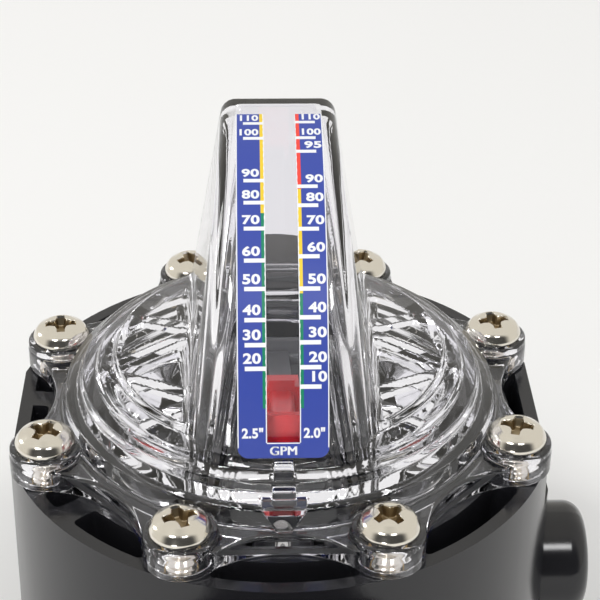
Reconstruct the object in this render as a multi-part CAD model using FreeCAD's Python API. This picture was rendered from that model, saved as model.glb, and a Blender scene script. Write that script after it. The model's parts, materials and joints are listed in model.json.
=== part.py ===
"""In-line flow meter for a pool pipe, built on a swing check valve body.

Water enters at +Y, pushes the hinged flapper open and leaves at -Y.  The flapper and the
red pointer are one swinging assembly, so the pointer climbs inside the clear tower and is
read against the scale on the tower's curved front.

Frame: +Z up, origin at the centre of the flat base, flow along -Y.  Units: millimetres.
"""
import FreeCAD, Part
import math
import os

V = FreeCAD.Vector

# ---------------------------------------------------------------- pipe and flow path
BORE_RADIUS = 26.0              # free water way
SOCKET_RADIUS = 30.2            # slip socket for a nominal 2 in pipe
SOCKET_DEPTH = 38.0
PORT_OUTER_RADIUS = 36.5        # outside matches a nominal 2.5 in pipe
PORT_SPAN = 190.0               # face to face along the flow
BASE_GAP = 3.5                  # port underside above the base plane
PORT_COLLAR_STEP = 2.8          # collar where a port leaves the casing
PORT_COLLAR_LENGTH = 2.5        # beyond the widest part of the casing
PORT_CHAMFER = 2.0

# ---------------------------------------------------------------- flapper and hinge
SEAT_WALL = 5.5                 # wall of the inlet throat that carries the seat
SEAT_OVERLAP = 3.5              # flapper radius beyond the bore
SEAT_OFFSET = -1.0              # seat plane, from the hinge axis towards the inlet
SEAT_GAP = 0.3                  # closed seal face to seat
CLOSED_TILT = 15.0              # closed flapper leans forward of vertical, degrees
HUB_RADIUS = 5.5
HUB_HALF_LENGTH = 8.0
HUB_THROAT_GAP = 1.5            # hub above the throat
NECK_RADIUS = 3.7
PIN_RADIUS = 2.5
PIN_CLEARANCE = 0.05            # radial, pin in hub and in lugs
LUG_INNER = 15.5                # lugs that carry the pin, from the middle plane
LUG_THICKNESS = 5.0
LUG_RADIUS = 6.0
LUG_TOP_GAP = 0.3               # lug below the lid and its spigot
LUG_FOOT = 0.6                  # lug starts this share of the throat radius above its axis
HINGE_DROP = 4.2                # hinge axis below the lid face
LID_OVER_COLLAR = 3.0           # least height of the lid face above the port collars
HINGE_SETBACK = 17.0            # hinge axis in from the chamber wall
TIP_CLEARANCE = 1.64            # shared by both ends of the flapper's reach
SEAL_THICKNESS = 2.5
DISC_THICKNESS = 4.0
DISC_RIM = 2.5                  # stiffening rim on the back of the disc, as wide as it is high
DISC_RIM_INSET = 1.0
RIM_NOTCH_GAP = 0.3             # each side of the arm
ARM_THICKNESS = 4.5
ARM_HALF_WIDTH = 5.0
ARM_PAD_RADIUS = 9.0
ARM_ROOT_FRONT = 0.4            # arm's root on the hub, shares of the hub radius
ARM_ROOT_BACK = 0.8
ARM_KNEE_FRONT = 0.5            # where the arm bends, shares of the way to the disc's top
ARM_KNEE_BACK = 0.8
ARM_DISC_GAP = 0.6
RETAINER_RADIUS = 20.0
RETAINER_THICKNESS = 2.5
RETAINER_CHAMFER = 1.0
BOLT_RADIUS = 3.0
BOLT_HEAD_HEIGHT = 3.5
BOLT_TAIL = 1.5                 # bolt end beyond the nut
NUT_FLATS = 10.0
NUT_HEIGHT = 5.0
WASHER_RADIUS = 6.2
WASHER_THICKNESS = 1.0
CLIP_THICKNESS = 0.8
CLIP_RADIUS = 4.6
CLIP_GROOVE = 0.75              # groove in the pin, share of its radius
THRUST_WASHER_THICKNESS = 0.34

# ---------------------------------------------------------------- pointer
POINTER_REST = 22.7             # pointer above horizontal at no flow, degrees
POINTER_TIP_GAP = 1.1           # tip to the inside of the tower front
POINTER_HEAD_HALF_WIDTH = 4.0
POINTER_HEAD_DEPTH = 3.4
POINTER_HEAD_LOW = -8.0         # ends of the head along its arc, from the pointer's line
POINTER_HEAD_HIGH = 1.5
POINTER_NECK_HALF_WIDTH = 2.6
POINTER_NECK_LENGTH = 11.0
POINTER_NECK_LOW = -2.0
POINTER_NECK_RISE = 2.0
POINTER_NECK_ROUND = 1.4        # long upper edges of the neck
POINTER_BAR_DEPTH = 4.0
POINTER_BAR_HIGH = 5.5
POINTER_BAR_HALF_WIDTH = 2.75
POINTER_SLEEVE_HALF_WIDTH = 3.8
POINTER_SLEEVE_HALF_HEIGHT = 4.2
POINTER_SLEEVE_LENGTH = 12.0
POINTER_END_WALL = 2.0
BLADE_HALF_WIDTH = 2.5
BLADE_HALF_HEIGHT = 3.0
BLADE_CLEARANCE = 0.05
POINTER_SCREW_PLACE = 8.0       # cross screw in from the front of the bar
POINTER_SCREW_RADIUS = 1.0
POINTER_SCREW_HEAD_RADIUS = 2.0
POINTER_SCREW_HEAD_HEIGHT = 1.1

# ---------------------------------------------------------------- torsion springs
SPRING_WIRE_RADIUS = 0.5
SPRING_TURNS = 3                # whole turns, plus the angle between the legs
SPRING_PITCH = 1.3
SPRING_SIDES = 6                # flats that stand for the round wire
SPRING_RUNS_PER_TURN = 12
SPRING_INNER_GAP = 0.35         # coil clear of the neck
SPRING_HUB_GAP = 0.1
SPRING_SEAT_GAP = 0.05          # legs to what they press on
SPRING_FIXED_LEG = 9.0
SPRING_MOVING_LEG = 19.0
SPRING_LEAVES_COIL = 3.0        # moving leg leaves the coil this far below the hinge axis
STOP_WIDTH = 2.6                # stop on the throat for the spring's fixed leg
STOP_DEPTH = 3.4
STOP_DROP = 5.3                 # stop top below the hinge axis
STOP_FOOT = 0.7                 # stop starts this share of the throat radius above its axis

# ---------------------------------------------------------------- casing
SCREW_COUNT = 8
SCREW_SETBACK = 10.0            # screw circle outside the chamber wall
CASING_MARGIN = 6.6             # casing wall outside the screw circle, at the lid face
CASING_FLARE = 1.6              # casing grows this much from lid face to underside
CASING_BOTTOM = 18.0
FLAT_SETBACK_PLUS = 3.0         # flat on the +X side, in from the round casing
FLAT_SETBACK_MINUS = 2.4        # the same on the -X side
LEDGE_STEP = 1.8                # the +X flat steps out below the lid face
LEDGE_DROP = 12.3
FLOOR_THICKNESS = 6.0
CHAMBER_BEVEL = 5.0
PAD_INSET = 6.0                 # base pad inside the chamber wall line
BOWL_WALL = 6.0
BOWL_SHOULDER_OUT = 0.75        # share of the way from the pad to the bowl wall
BOWL_SHOULDER_UP = 0.28         # share of the way up to the casing's underside
POCKET_WIDTH = 6.0
POCKET_DEPTH = 30.0
POCKET_WALL = 2.9               # casing wall outside a pocket
POCKET_END_WALL = 2.9           # between a pocket and an insert hole
POCKET_SHORT = 5.4              # the short pocket where a web splits one in two
POCKET_WEB = 5.5
POCKET_CORNER = 1.2
SIDE_BOSS_RADIUS = 13.3         # blind round-ended boss on the +X side
SIDE_BOSS_REACH = 17.7          # beyond the screw circle
SIDE_BOSS_ROUND = 4.5
INSERT_FIT = 0.02               # radial, inserts and clips in their seats

# ---------------------------------------------------------------- lid seal and screws
GROOVE_INSET = 1.3              # groove outside the chamber wall
GROOVE_WIDTH = 3.0
GROOVE_DEPTH = 2.5
RING_SIDE_GAP = 0.05
INSERT_RADIUS = 4.0
INSERT_LENGTH = 16.0
INSERT_DEPTH = 0.5              # insert below the lid face
INSERT_HOLE_DEPTH = 21.0
SCREW_RADIUS = 3.15
SCREW_LENGTH = 25.4
SCREW_CLEARANCE = 0.05          # screw in insert
SCREW_HEAD_RADIUS = 6.4
SCREW_HEAD_HEIGHT = 4.1
SCREW_HEAD_RIM = 1.5            # straight side of the pan head
SCREW_HEAD_SLOPE_OUT = 0.82     # shoulder of the crown, shares of its radius and rise
SCREW_HEAD_SLOPE_UP = 0.66
LID_HOLE_CLEARANCE = 0.35

# ---------------------------------------------------------------- clear lid
BOSS_RADIUS = 7.6
BOSS_HEIGHT = 7.1
PLATE_THICKNESS = 5.3
SCALLOP_REACH = 5.8             # scalloped edge beyond the chamber wall, between bosses
SPIGOT_DEPTH = 2.5
SPIGOT_WALL = 2.8
SPIGOT_GAP = 0.3
COLLAR_OUT = 4.0                # collar outside the chamber wall, at its foot
COLLAR_TAPER = 1.0              # collar leans in this much to the first ring
COLLAR_HEIGHT = 9.3             # lid face to the first ring
DOME_RISE = 13.5                # first ring to the crown
DOME_INNER_DROP = 2.0
DOME_INNER_RISE = 11.8
UNDERCUT = 2.4                  # the hollow widens at 45 degrees above the spigot
# rings on the dome: radius inside the collar, riser foot and riser top above the collar
DOME_RINGS = ((3.3, 2.2, 4.0), (6.8, 4.9, 6.1), (10.8, 7.0, 9.0))
RISER_LEAN = 0.5
CROWN_FLATNESS = 0.26           # share of the crown's fall that lies inside half its radius
LEG_THICKNESS = 2.8             # legs under the tower that hold the pin down
LEG_RISE = 16.0
LEG_INNER = 17.4
LEG_HALF_WIDTH = 2.3
LEG_PIN_GAP = 0.05

# ---------------------------------------------------------------- tower and scale
TOWER_FOOT_SETBACK = 2.7        # tower front at hinge height, inside the chamber wall
TOWER_WALL = 3.2
TOWER_BACK_TOP = 1.75           # outside of the back wall behind the hinge, at the top
TOWER_BACK_FOOT = 10.0          # and at the foot
TOWER_BACK_FOOT_HEIGHT = 21.5   # height of that foot above the hinge axis
TOWER_HALF_TOP = 12.1           # half width at the crown and at the foot
TOWER_HALF_FOOT = 20.7
TOWER_FOOT_HEIGHT = 15.5        # above the hinge axis
TOWER_OVERLAP = 5.0             # taper drawn on above the crown before it is cut to shape
FRONT_ROUND_TOP = 2.8           # front corner radius at the top and at the foot
FRONT_ROUND_FOOT = 11.0
INNER_ROUND_TOP = 2.2           # the same inside the tower
INNER_ROUND_FOOT = 9.0
BACK_ROUND = 2.4
LABEL_HALF_WIDTH = 9.2
LABEL_THICKNESS = 0.3
LABEL_LOW = 17.2                # angles on the tower front, above horizontal
LABEL_HIGH = 84.1
LABEL_CORNER = 2.2
WINDOW_HALF_WIDTH = 3.3
WINDOW_LOW = 19.9
ARROW_SHAFT_WIDTH = 4.8
ARROW_SHAFT_LENGTH = 7.5
ARROW_HEAD_WIDTH = 10.5
ARROW_SETBACK = 1.0             # arrow front in from the collar's foot
ARROW_BACK_RISE = 6.2           # shaft top above the first ring, at its back and front
ARROW_FRONT_RISE = 1.4
ARROW_HEAD_RISE = 0.7
ARROW_TIP_OUT = 3.2
ARROW_HEAD_DEPTH = 5.0

# ---------------------------------------------------------------- derived places
FLOW_HEIGHT = PORT_OUTER_RADIUS + BASE_GAP
THROAT_RADIUS = BORE_RADIUS + SEAT_WALL
HINGE_OVER_THROAT = THROAT_RADIUS + HUB_THROAT_GAP + HUB_RADIUS
HINGE_OVER_COLLAR = PORT_OUTER_RADIUS + PORT_COLLAR_STEP + LID_OVER_COLLAR - HINGE_DROP
HINGE_Z = FLOW_HEIGHT + max(HINGE_OVER_THROAT, HINGE_OVER_COLLAR)
LID_FACE = HINGE_Z + HINGE_DROP
TILT = math.radians(CLOSED_TILT)
SWING_RADIUS = (HINGE_Z - FLOW_HEIGHT) / math.cos(TILT)
DISC_RADIUS = BORE_RADIUS + SEAT_OVERLAP
CHAMBER_RADIUS = (SWING_RADIUS + DISC_RADIUS + HINGE_SETBACK + TIP_CLEARANCE) / 2
HINGE_Y = CHAMBER_RADIUS - HINGE_SETBACK
SCREW_CIRCLE = CHAMBER_RADIUS + SCREW_SETBACK
SCREW_STEP = 2 * math.pi / SCREW_COUNT
SCREW_ANGLES = [(k + 0.5) * SCREW_STEP for k in range(SCREW_COUNT)]
CASING_RADIUS = SCREW_CIRCLE + CASING_MARGIN
BOSS_TOP = LID_FACE + BOSS_HEIGHT
SCALE_RADIUS = HINGE_Y + CHAMBER_RADIUS - TOWER_FOOT_SETBACK
TIP_RADIUS = SCALE_RADIUS - TOWER_WALL - POINTER_TIP_GAP
LUG_OUTER = LUG_INNER + LUG_THICKNESS
SEAL_FACE = SEAT_OFFSET - SEAT_GAP
SEAL_BACK = SEAL_FACE - SEAL_THICKNESS
DISC_BACK = SEAL_BACK - DISC_THICKNESS
ARM_BACK = DISC_BACK - ARM_THICKNESS
PIN_HOLE_RADIUS = PIN_RADIUS + PIN_CLEARANCE
COIL_RADIUS = NECK_RADIUS + SPRING_INNER_GAP + SPRING_WIRE_RADIUS
X_AXIS = V(1, 0, 0)
Y_AXIS = V(0, 1, 0)
Z_AXIS = V(0, 0, 1)
FAR = 400.0                     # beyond every part
JOIN = 2.0                      # overlap of shapes that are fused
CUT = 1.0                       # a cut runs on this far past the surface


# ---------------------------------------------------------------- small helpers
def swing_point(u, w, x=0.0):
    """A point in the closed flapper's frame: u down the flapper, w towards the inlet."""
    y = HINGE_Y - u * math.sin(TILT) + w * math.cos(TILT)
    z = HINGE_Z - u * math.cos(TILT) - w * math.sin(TILT)
    return V(x, y, z)


def pointer_point(v, t, x=0.0):
    """A point in the resting pointer's frame: v out along the pointer, t above it."""
    a = math.radians(POINTER_REST)
    y = HINGE_Y - v * math.cos(a) + t * math.sin(a)
    z = HINGE_Z + v * math.sin(a) + t * math.cos(a)
    return V(x, y, z)


def arc_point(radius, degrees, x=0.0):
    """A point on an arc about the hinge, at an angle above horizontal."""
    a = math.radians(degrees)
    return V(x, HINGE_Y - radius * math.cos(a), HINGE_Z + radius * math.sin(a))


def cylinder(radius, start, end):
    span = end - start
    return Part.makeCylinder(radius, span.Length, start, span)


def prism(points, span):
    face = Part.Face(Part.makePolygon(points + [points[0]]))
    return face.extrude(span)


def slab(points, half_width):
    """Extrude an outline drawn in the middle plane to both sides of it."""
    shifted = [p - X_AXIS * half_width for p in points]
    return prism(shifted, X_AXIS * (2 * half_width))


def block(low, high):
    return Part.makeBox(high.x - low.x, high.y - low.y, high.z - low.z, low)


def outline_edges(points):
    """Straight edges through the points and back to the first."""
    return [Part.makeLine(a, b) for a, b in zip(points, points[1:] + points[:1])]


def revolve(edges):
    return Part.Face(Part.Wire(edges)).revolve(V(0, 0, 0), Z_AXIS, 360)


def hexagon(flats, base, span, side_hint):
    """A hexagonal prism with one corner towards side_hint."""
    first = side_hint.normalize() * (flats / math.sqrt(3))
    turn = FreeCAD.Rotation(span, 60)
    corners = [first]
    for _ in range(5):
        corners.append(turn.multVec(corners[-1]))
    return prism([base + c for c in corners], span)


def circle_edges(shape):
    return [e for e in shape.Edges if isinstance(e.Curve, Part.Circle) and len(e.Vertexes) == 1]


def round_point(radius, angle, z=0.0):
    """A point on a circle about the casing's upright axis."""
    return V(radius * math.cos(angle), radius * math.sin(angle), z)


def screw_place(angle, z):
    return round_point(SCREW_CIRCLE, angle, z)


def both_sides(make):
    """The solid that make(side) gives for +X and -X."""
    return [make(side) for side in (1, -1)]


def save(name, solids):
    shape = solids[0] if len(solids) == 1 else Part.makeCompound(solids)
    shape.exportStep("parts/" + name + ".step")
    print(name, len(shape.Solids), "solids", round(shape.Volume / 1000, 2), "cm3", shape.isValid())


# ---------------------------------------------------------------- black body
def outside(side, setback, low, high):
    """What lies beyond a flat, set in from the round casing on the +X (1) or -X (-1) side."""
    near = side * (CASING_RADIUS - setback)
    far = side * FAR
    return block(V(min(near, far), -FAR, low), V(max(near, far), FAR, high))


def casing():
    """Round drafted casing with a flat on each side; the +X flat steps out at a ledge."""
    height = LID_FACE - CASING_BOTTOM
    shape = Part.makeCone(CASING_RADIUS + CASING_FLARE, CASING_RADIUS, height, V(0, 0, CASING_BOTTOM))
    ledge = LID_FACE - LEDGE_DROP
    return shape.cut([outside(-1, FLAT_SETBACK_MINUS, 0, FAR), outside(1, FLAT_SETBACK_PLUS, ledge, FAR),
                      outside(1, FLAT_SETBACK_PLUS - LEDGE_STEP, 0, ledge)])


def bowl():
    """Round underside with the flat pad that the valve stands on."""
    outer = CHAMBER_RADIUS + BOWL_WALL
    pad = CHAMBER_RADIUS - PAD_INSET
    shoulder = V(pad + BOWL_SHOULDER_OUT * (outer - pad), 0, BOWL_SHOULDER_UP * CASING_BOTTOM)
    top = CASING_BOTTOM + JOIN
    return revolve(outline_edges([V(0, 0, 0), V(pad, 0, 0), shoulder, V(outer, 0, CASING_BOTTOM),
                                  V(outer, 0, top), V(0, 0, top)]))


def port(direction):
    """Outside of one pipe port with its collar and chamfered end."""
    end = V(0, direction * PORT_SPAN / 2, FLOW_HEIGHT)
    start = V(0, direction * CHAMBER_RADIUS, FLOW_HEIGHT)
    tube = cylinder(PORT_OUTER_RADIUS, start, end)
    rim = [e for e in circle_edges(tube) if abs(e.Curve.Center.y - end.y) < 0.01]
    tube = tube.makeChamfer(PORT_CHAMFER, rim)
    collar_reach = CASING_RADIUS + CASING_FLARE + PORT_COLLAR_LENGTH
    collar_end = V(0, direction * collar_reach, FLOW_HEIGHT)
    collar = cylinder(PORT_OUTER_RADIUS + PORT_COLLAR_STEP, start, collar_end)
    return tube.fuse(collar)


def side_boss():
    end = V(SCREW_CIRCLE + SIDE_BOSS_REACH, 0, FLOW_HEIGHT)
    boss = cylinder(SIDE_BOSS_RADIUS, V(CHAMBER_RADIUS + JOIN, 0, FLOW_HEIGHT), end)
    rim = [e for e in circle_edges(boss) if abs(e.Curve.Center.x - end.x) < 0.01]
    return boss.makeFillet(SIDE_BOSS_ROUND, rim)


def chamber():
    floor = V(0, 0, FLOOR_THICKNESS)
    room = cylinder(CHAMBER_RADIUS, floor, V(0, 0, LID_FACE + CUT))
    rim = [e for e in circle_edges(room) if e.Curve.Center.z < FLOOR_THICKNESS + 0.01]
    return room.makeChamfer(CHAMBER_BEVEL, rim)


def throat():
    """Inlet throat inside the chamber, cut off by the tilted seat plane."""
    back = V(0, CHAMBER_RADIUS + JOIN, FLOW_HEIGHT)
    tube = cylinder(THROAT_RADIUS, V(0, -CHAMBER_RADIUS / 2, FLOW_HEIGHT), back)
    foot = block(V(-THROAT_RADIUS / 2, -CHAMBER_RADIUS / 2, FLOOR_THICKNESS - JOIN),
                 V(THROAT_RADIUS / 2, CHAMBER_RADIUS, FLOW_HEIGHT))
    behind_seat = slab([swing_point(-FAR, SEAT_OFFSET), swing_point(FAR, SEAT_OFFSET),
                        swing_point(FAR, FAR), swing_point(-FAR, FAR)], FAR)
    return tube.fuse(foot).common(behind_seat)


def lug(side):
    """One hinge lug standing on the throat, with its pin slot open to the top."""
    inner = V(side * LUG_INNER, 0, 0)
    span = V(side * LUG_THICKNESS, 0, 0)
    axis = V(0, HINGE_Y, HINGE_Z)
    top = LID_FACE - LUG_TOP_GAP
    rear_top = LID_FACE - SPIGOT_DEPTH - LUG_TOP_GAP
    foot = FLOW_HEIGHT + LUG_FOOT * THROAT_RADIUS
    eye = cylinder(LUG_RADIUS, axis + inner, axis + inner + span)
    eye = eye.common(block(V(-FAR, -FAR, 0), V(FAR, FAR, top)))
    rear = CHAMBER_RADIUS + JOIN
    shoulder = HINGE_Y + LUG_RADIUS
    outline = [(HINGE_Y, foot), (rear, foot), (rear, rear_top),
               (shoulder, rear_top), (shoulder, top), (HINGE_Y, top)]
    web = prism([inner + V(0, y, z) for y, z in outline], span)
    return eye.fuse(web)


def pin_slot():
    half = PIN_HOLE_RADIUS
    reach = V(LUG_OUTER + CUT, 0, 0)
    axis = V(0, HINGE_Y, HINGE_Z)
    round_end = cylinder(half, axis - reach, axis + reach)
    mouth = block(V(-reach.x, HINGE_Y - half, HINGE_Z), V(reach.x, HINGE_Y + half, LID_FACE + CUT))
    return round_end.fuse(mouth)


def spring_stop(side):
    """Stop on the throat that the fixed leg of a spring bears on."""
    x = side * spring_end_x()
    leg_front = HINGE_Y + COIL_RADIUS - SPRING_WIRE_RADIUS - SPRING_SEAT_GAP
    return block(V(x - STOP_WIDTH / 2, leg_front - STOP_DEPTH, FLOW_HEIGHT + STOP_FOOT * THROAT_RADIUS),
                 V(x + STOP_WIDTH / 2, leg_front, HINGE_Z - STOP_DROP))


def pocket(start, end):
    """One moulded pocket in the casing's top face, along the rim between two angles."""
    outer = CASING_RADIUS - POCKET_WALL
    inner = outer - POCKET_WIDTH
    low = LID_FACE - POCKET_DEPTH
    angles = (start, (start + end) / 2, end)
    near = [round_point(inner, a, low) for a in angles]
    rim = [round_point(outer, a, low) for a in angles]
    outline = Part.Wire([Part.Arc(*near).toShape(), Part.makeLine(near[2], rim[2]),
                         Part.Arc(*reversed(rim)).toShape(), Part.makeLine(rim[0], near[0])])
    shape = Part.Face(outline).extrude(Z_AXIS * (POCKET_DEPTH + CUT))
    upright = [e for e in shape.Edges if e.BoundBox.ZLength > POCKET_DEPTH]
    shape = shape.makeFillet(POCKET_CORNER, upright)
    return shape.cut([outside(1, FLAT_SETBACK_PLUS + POCKET_WALL, 0, FAR),
                      outside(-1, FLAT_SETBACK_MINUS + POCKET_WALL, 0, FAR)])


def pockets():
    """One long pocket between each pair of screws; a web splits it on the -X half."""
    end_gap = (INSERT_RADIUS + POCKET_END_WALL) / SCREW_CIRCLE
    short = POCKET_SHORT / SCREW_CIRCLE
    web = POCKET_WEB / SCREW_CIRCLE
    found = []
    for angle in SCREW_ANGLES:
        start = angle + end_gap
        end = angle + SCREW_STEP - end_gap
        if math.cos(angle + SCREW_STEP / 2) > -0.5:
            found.append(pocket(start, end))
            continue
        found.append(pocket(start, start + short))
        found.append(pocket(start + short + web, end))
    return found


def ring_band(inner, outer, low, high):
    base = V(0, 0, low)
    top = V(0, 0, high)
    return cylinder(outer, base, top).cut(cylinder(inner, base, top))


def valve_body():
    shape = casing().fuse([bowl(), port(1), port(-1), side_boss()])
    shape = shape.cut(chamber())
    inside = cylinder(CHAMBER_RADIUS + JOIN, V(0, 0, FLOOR_THICKNESS - JOIN), V(0, 0, LID_FACE))
    fittings = throat().fuse(both_sides(lug) + both_sides(spring_stop)).common(inside)
    shape = shape.fuse(fittings)
    end = V(0, PORT_SPAN / 2 + CUT, FLOW_HEIGHT)
    other_end = V(0, -PORT_SPAN / 2 - CUT, FLOW_HEIGHT)
    cuts = [cylinder(BORE_RADIUS, other_end, end), pin_slot()]
    for direction in (1, -1):
        mouth = V(0, direction * (PORT_SPAN / 2 + CUT), FLOW_HEIGHT)
        stop = V(0, direction * (PORT_SPAN / 2 - SOCKET_DEPTH), FLOW_HEIGHT)
        cuts.append(cylinder(SOCKET_RADIUS, stop, mouth))
    for angle in SCREW_ANGLES:
        cuts.append(cylinder(INSERT_RADIUS + INSERT_FIT, screw_place(angle, LID_FACE - INSERT_HOLE_DEPTH),
                             screw_place(angle, LID_FACE + CUT)))
    groove_inner = CHAMBER_RADIUS + GROOVE_INSET
    cuts.append(ring_band(groove_inner, groove_inner + GROOVE_WIDTH, LID_FACE - GROOVE_DEPTH, LID_FACE + CUT))
    return shape.cut(cuts + pockets()).removeSplitter()


# ---------------------------------------------------------------- lid screws and seal
def thread_insert(angle):
    top = screw_place(angle, LID_FACE - INSERT_DEPTH)
    low = top - Z_AXIS * INSERT_LENGTH
    sleeve = cylinder(INSERT_RADIUS, low, top)
    return sleeve.cut(cylinder(SCREW_RADIUS + SCREW_CLEARANCE, low - Z_AXIS, top + Z_AXIS))


def lid_screw(angle):
    """Pan head screw: straight rim, bevelled crown and plain shank."""
    under = screw_place(angle, BOSS_TOP)
    shank = cylinder(SCREW_RADIUS, under - Z_AXIS * SCREW_LENGTH, under)
    rim = SCREW_HEAD_RADIUS
    crown = SCREW_HEAD_HEIGHT
    slope = V(SCREW_HEAD_SLOPE_OUT * rim, 0, SCREW_HEAD_RIM + SCREW_HEAD_SLOPE_UP * (crown - SCREW_HEAD_RIM))
    head = revolve(outline_edges([V(0, 0, 0), V(rim, 0, 0), V(rim, 0, SCREW_HEAD_RIM), slope,
                                  V(rim / 2, 0, crown), V(0, 0, crown)]))
    head.translate(under)
    return shank.fuse(head).removeSplitter()


def lid_o_ring():
    """Square-sided ring as it sits squeezed in its groove."""
    inner = CHAMBER_RADIUS + GROOVE_INSET + RING_SIDE_GAP
    outer = CHAMBER_RADIUS + GROOVE_INSET + GROOVE_WIDTH - RING_SIDE_GAP
    return ring_band(inner, outer, LID_FACE - GROOVE_DEPTH, LID_FACE)


# ---------------------------------------------------------------- clear lid
def scalloped_outline(z):
    """Boss arcs joined by hollow arcs that are tangent to them."""
    half = SCREW_STEP / 2
    near = CHAMBER_RADIUS + SCALLOP_REACH
    # hollow circle: its centre lies outside, at distance d, with radius d - near
    reach = SCREW_CIRCLE ** 2 - (BOSS_RADIUS - near) ** 2
    d = reach / (2 * (SCREW_CIRCLE * math.cos(half) + BOSS_RADIUS - near))
    hollow = d - near
    edges = []
    for angle in SCREW_ANGLES:
        boss = screw_place(angle, z)
        before = round_point(d, angle - half, z)
        after = round_point(d, angle + half, z)
        first = boss + (before - boss).normalize() * BOSS_RADIUS
        last = boss + (after - boss).normalize() * BOSS_RADIUS
        out = boss + round_point(BOSS_RADIUS, angle)
        edges.append(Part.Arc(first, out, last).toShape())
        following = screw_place(angle + SCREW_STEP, z)
        meet = following + (after - following).normalize() * BOSS_RADIUS
        edges.append(Part.Arc(last, round_point(near, angle + half, z), meet).toShape())
    return Part.Wire(edges)


def lid_plate():
    plate = Part.Face(scalloped_outline(LID_FACE)).extrude(Z_AXIS * PLATE_THICKNESS)
    bosses = [cylinder(BOSS_RADIUS, screw_place(a, LID_FACE), screw_place(a, BOSS_TOP)) for a in SCREW_ANGLES]
    return plate.fuse(bosses)


def dome_outside():
    """Collar, three stepped rings and a shallow crown."""
    foot = CHAMBER_RADIUS + COLLAR_OUT
    collar = foot - COLLAR_TAPER
    base = LID_FACE + COLLAR_HEIGHT
    points = [V(0, 0, LID_FACE), V(foot, 0, LID_FACE),
              V(foot, 0, LID_FACE + PLATE_THICKNESS), V(collar, 0, base)]
    for inset, low, high in DOME_RINGS:
        points.append(V(collar - inset, 0, base + low))
        points.append(V(collar - inset - RISER_LEAN, 0, base + high))
    edges = [Part.makeLine(a, b) for a, b in zip(points, points[1:])]
    crown = V(0, 0, base + DOME_RISE)
    last = points[-1]
    drop = crown.z - last.z
    middle = V(last.x / 2, 0, crown.z - CROWN_FLATNESS * drop)
    edges.append(Part.Arc(last, middle, crown).toShape())
    edges.append(Part.makeLine(crown, points[0]))
    return revolve(edges)


def dome_inside():
    """The hollow of the lid: straight through the spigot, then a flattened dome."""
    radius = CHAMBER_RADIUS - SPIGOT_GAP - SPIGOT_WALL
    wide = radius + UNDERCUT
    base = LID_FACE + COLLAR_HEIGHT - DOME_INNER_DROP
    low = LID_FACE - SPIGOT_DEPTH - CUT
    crown = V(0, 0, base + DOME_INNER_RISE)
    rim = V(wide, 0, base)
    # a circle through the rim and level at the crown
    ball = (wide ** 2 + DOME_INNER_RISE ** 2) / (2 * DOME_INNER_RISE)
    turn = math.asin(wide / ball) / 2
    middle = V(ball * math.sin(turn), 0, crown.z - ball * (1 - math.cos(turn)))
    return revolve([
        Part.Arc(rim, middle, crown).toShape(),
        Part.makeLine(crown, V(0, 0, low)),
        Part.makeLine(V(0, 0, low), V(radius, 0, low)),
        Part.makeLine(V(radius, 0, low), V(radius, 0, LID_FACE)),
        Part.makeLine(V(radius, 0, LID_FACE), V(rim.x, 0, LID_FACE + UNDERCUT)),
        Part.makeLine(V(rim.x, 0, LID_FACE + UNDERCUT), rim),
    ])


def tower_side(inset, low):
    """Side outline swept across the width: curved front and a back that slopes to its foot."""
    radius = SCALE_RADIUS - inset
    low_angle = math.degrees(math.asin((low - HINGE_Z) / radius))
    high_angle = 90 + math.degrees(math.asin((TOWER_BACK_TOP - inset) / radius))
    start = arc_point(radius, low_angle)
    middle = arc_point(radius, (low_angle + high_angle) / 2)
    top = arc_point(radius, high_angle)
    foot_z = HINGE_Z + TOWER_BACK_FOOT_HEIGHT
    foot_y = HINGE_Y + TOWER_BACK_FOOT - inset
    slope = (foot_y - top.y) / (top.z - foot_z)
    rear = V(0, foot_y + slope * (foot_z - low), low)
    wire = Part.Wire([Part.Arc(start, middle, top).toShape(), Part.makeLine(top, rear),
                      Part.makeLine(rear, start)])
    face = Part.Face(wire)
    face.translate(X_AXIS * -FAR / 2)
    return face.extrude(X_AXIS * FAR)


def tower_front(inset, low):
    """Front outline swept from front to back: straight tapered sides."""
    taper = (TOWER_HALF_FOOT - TOWER_HALF_TOP) / (SCALE_RADIUS - TOWER_FOOT_HEIGHT)
    rise = SCALE_RADIUS + TOWER_OVERLAP
    top = TOWER_HALF_TOP - inset - taper * TOWER_OVERLAP
    foot = top + taper * (HINGE_Z + rise - low)
    points = [(top, HINGE_Z + rise), (foot, low), (-foot, low), (-top, HINGE_Z + rise)]
    return prism([V(x, -FAR / 2, z) for x, z in points], Y_AXIS * FAR)


def tower(inset, low):
    """Tower block with its long front corners rounded, and outside the back ones too."""
    shape = tower_side(inset, low).common(tower_front(inset, low))
    if inset > 0:
        return round_front(shape, INNER_ROUND_FOOT, INNER_ROUND_TOP)
    shape = round_front(shape, FRONT_ROUND_FOOT, FRONT_ROUND_TOP)
    return shape.makeFillet(BACK_ROUND, long_corners(shape, -1))


def round_front(shape, foot_radius, top_radius):
    """Round both front corners with a radius that shrinks from the foot to the top."""
    for side in (1, -1):
        edge = [e for e in long_corners(shape, 1) if e.CenterOfMass.x * side > 0][0]
        radii = (foot_radius, top_radius)
        if edge.firstVertex(True).Z > edge.lastVertex(True).Z:
            radii = (top_radius, foot_radius)
        shape = shape.makeFillet(*radii, [edge])
    return shape


def long_corners(shape, forward):
    """The two tall corners at the front (1) or the back (-1) of the tower."""
    found = []
    for edge in shape.Edges:
        middle = edge.valueAt((edge.FirstParameter + edge.LastParameter) / 2)
        tall = edge.BoundBox.ZLength > 0.4 * SCALE_RADIUS
        if tall and forward * (HINGE_Y - 5 - middle.y) > 0:
            found.append(edge)
    return found


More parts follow.
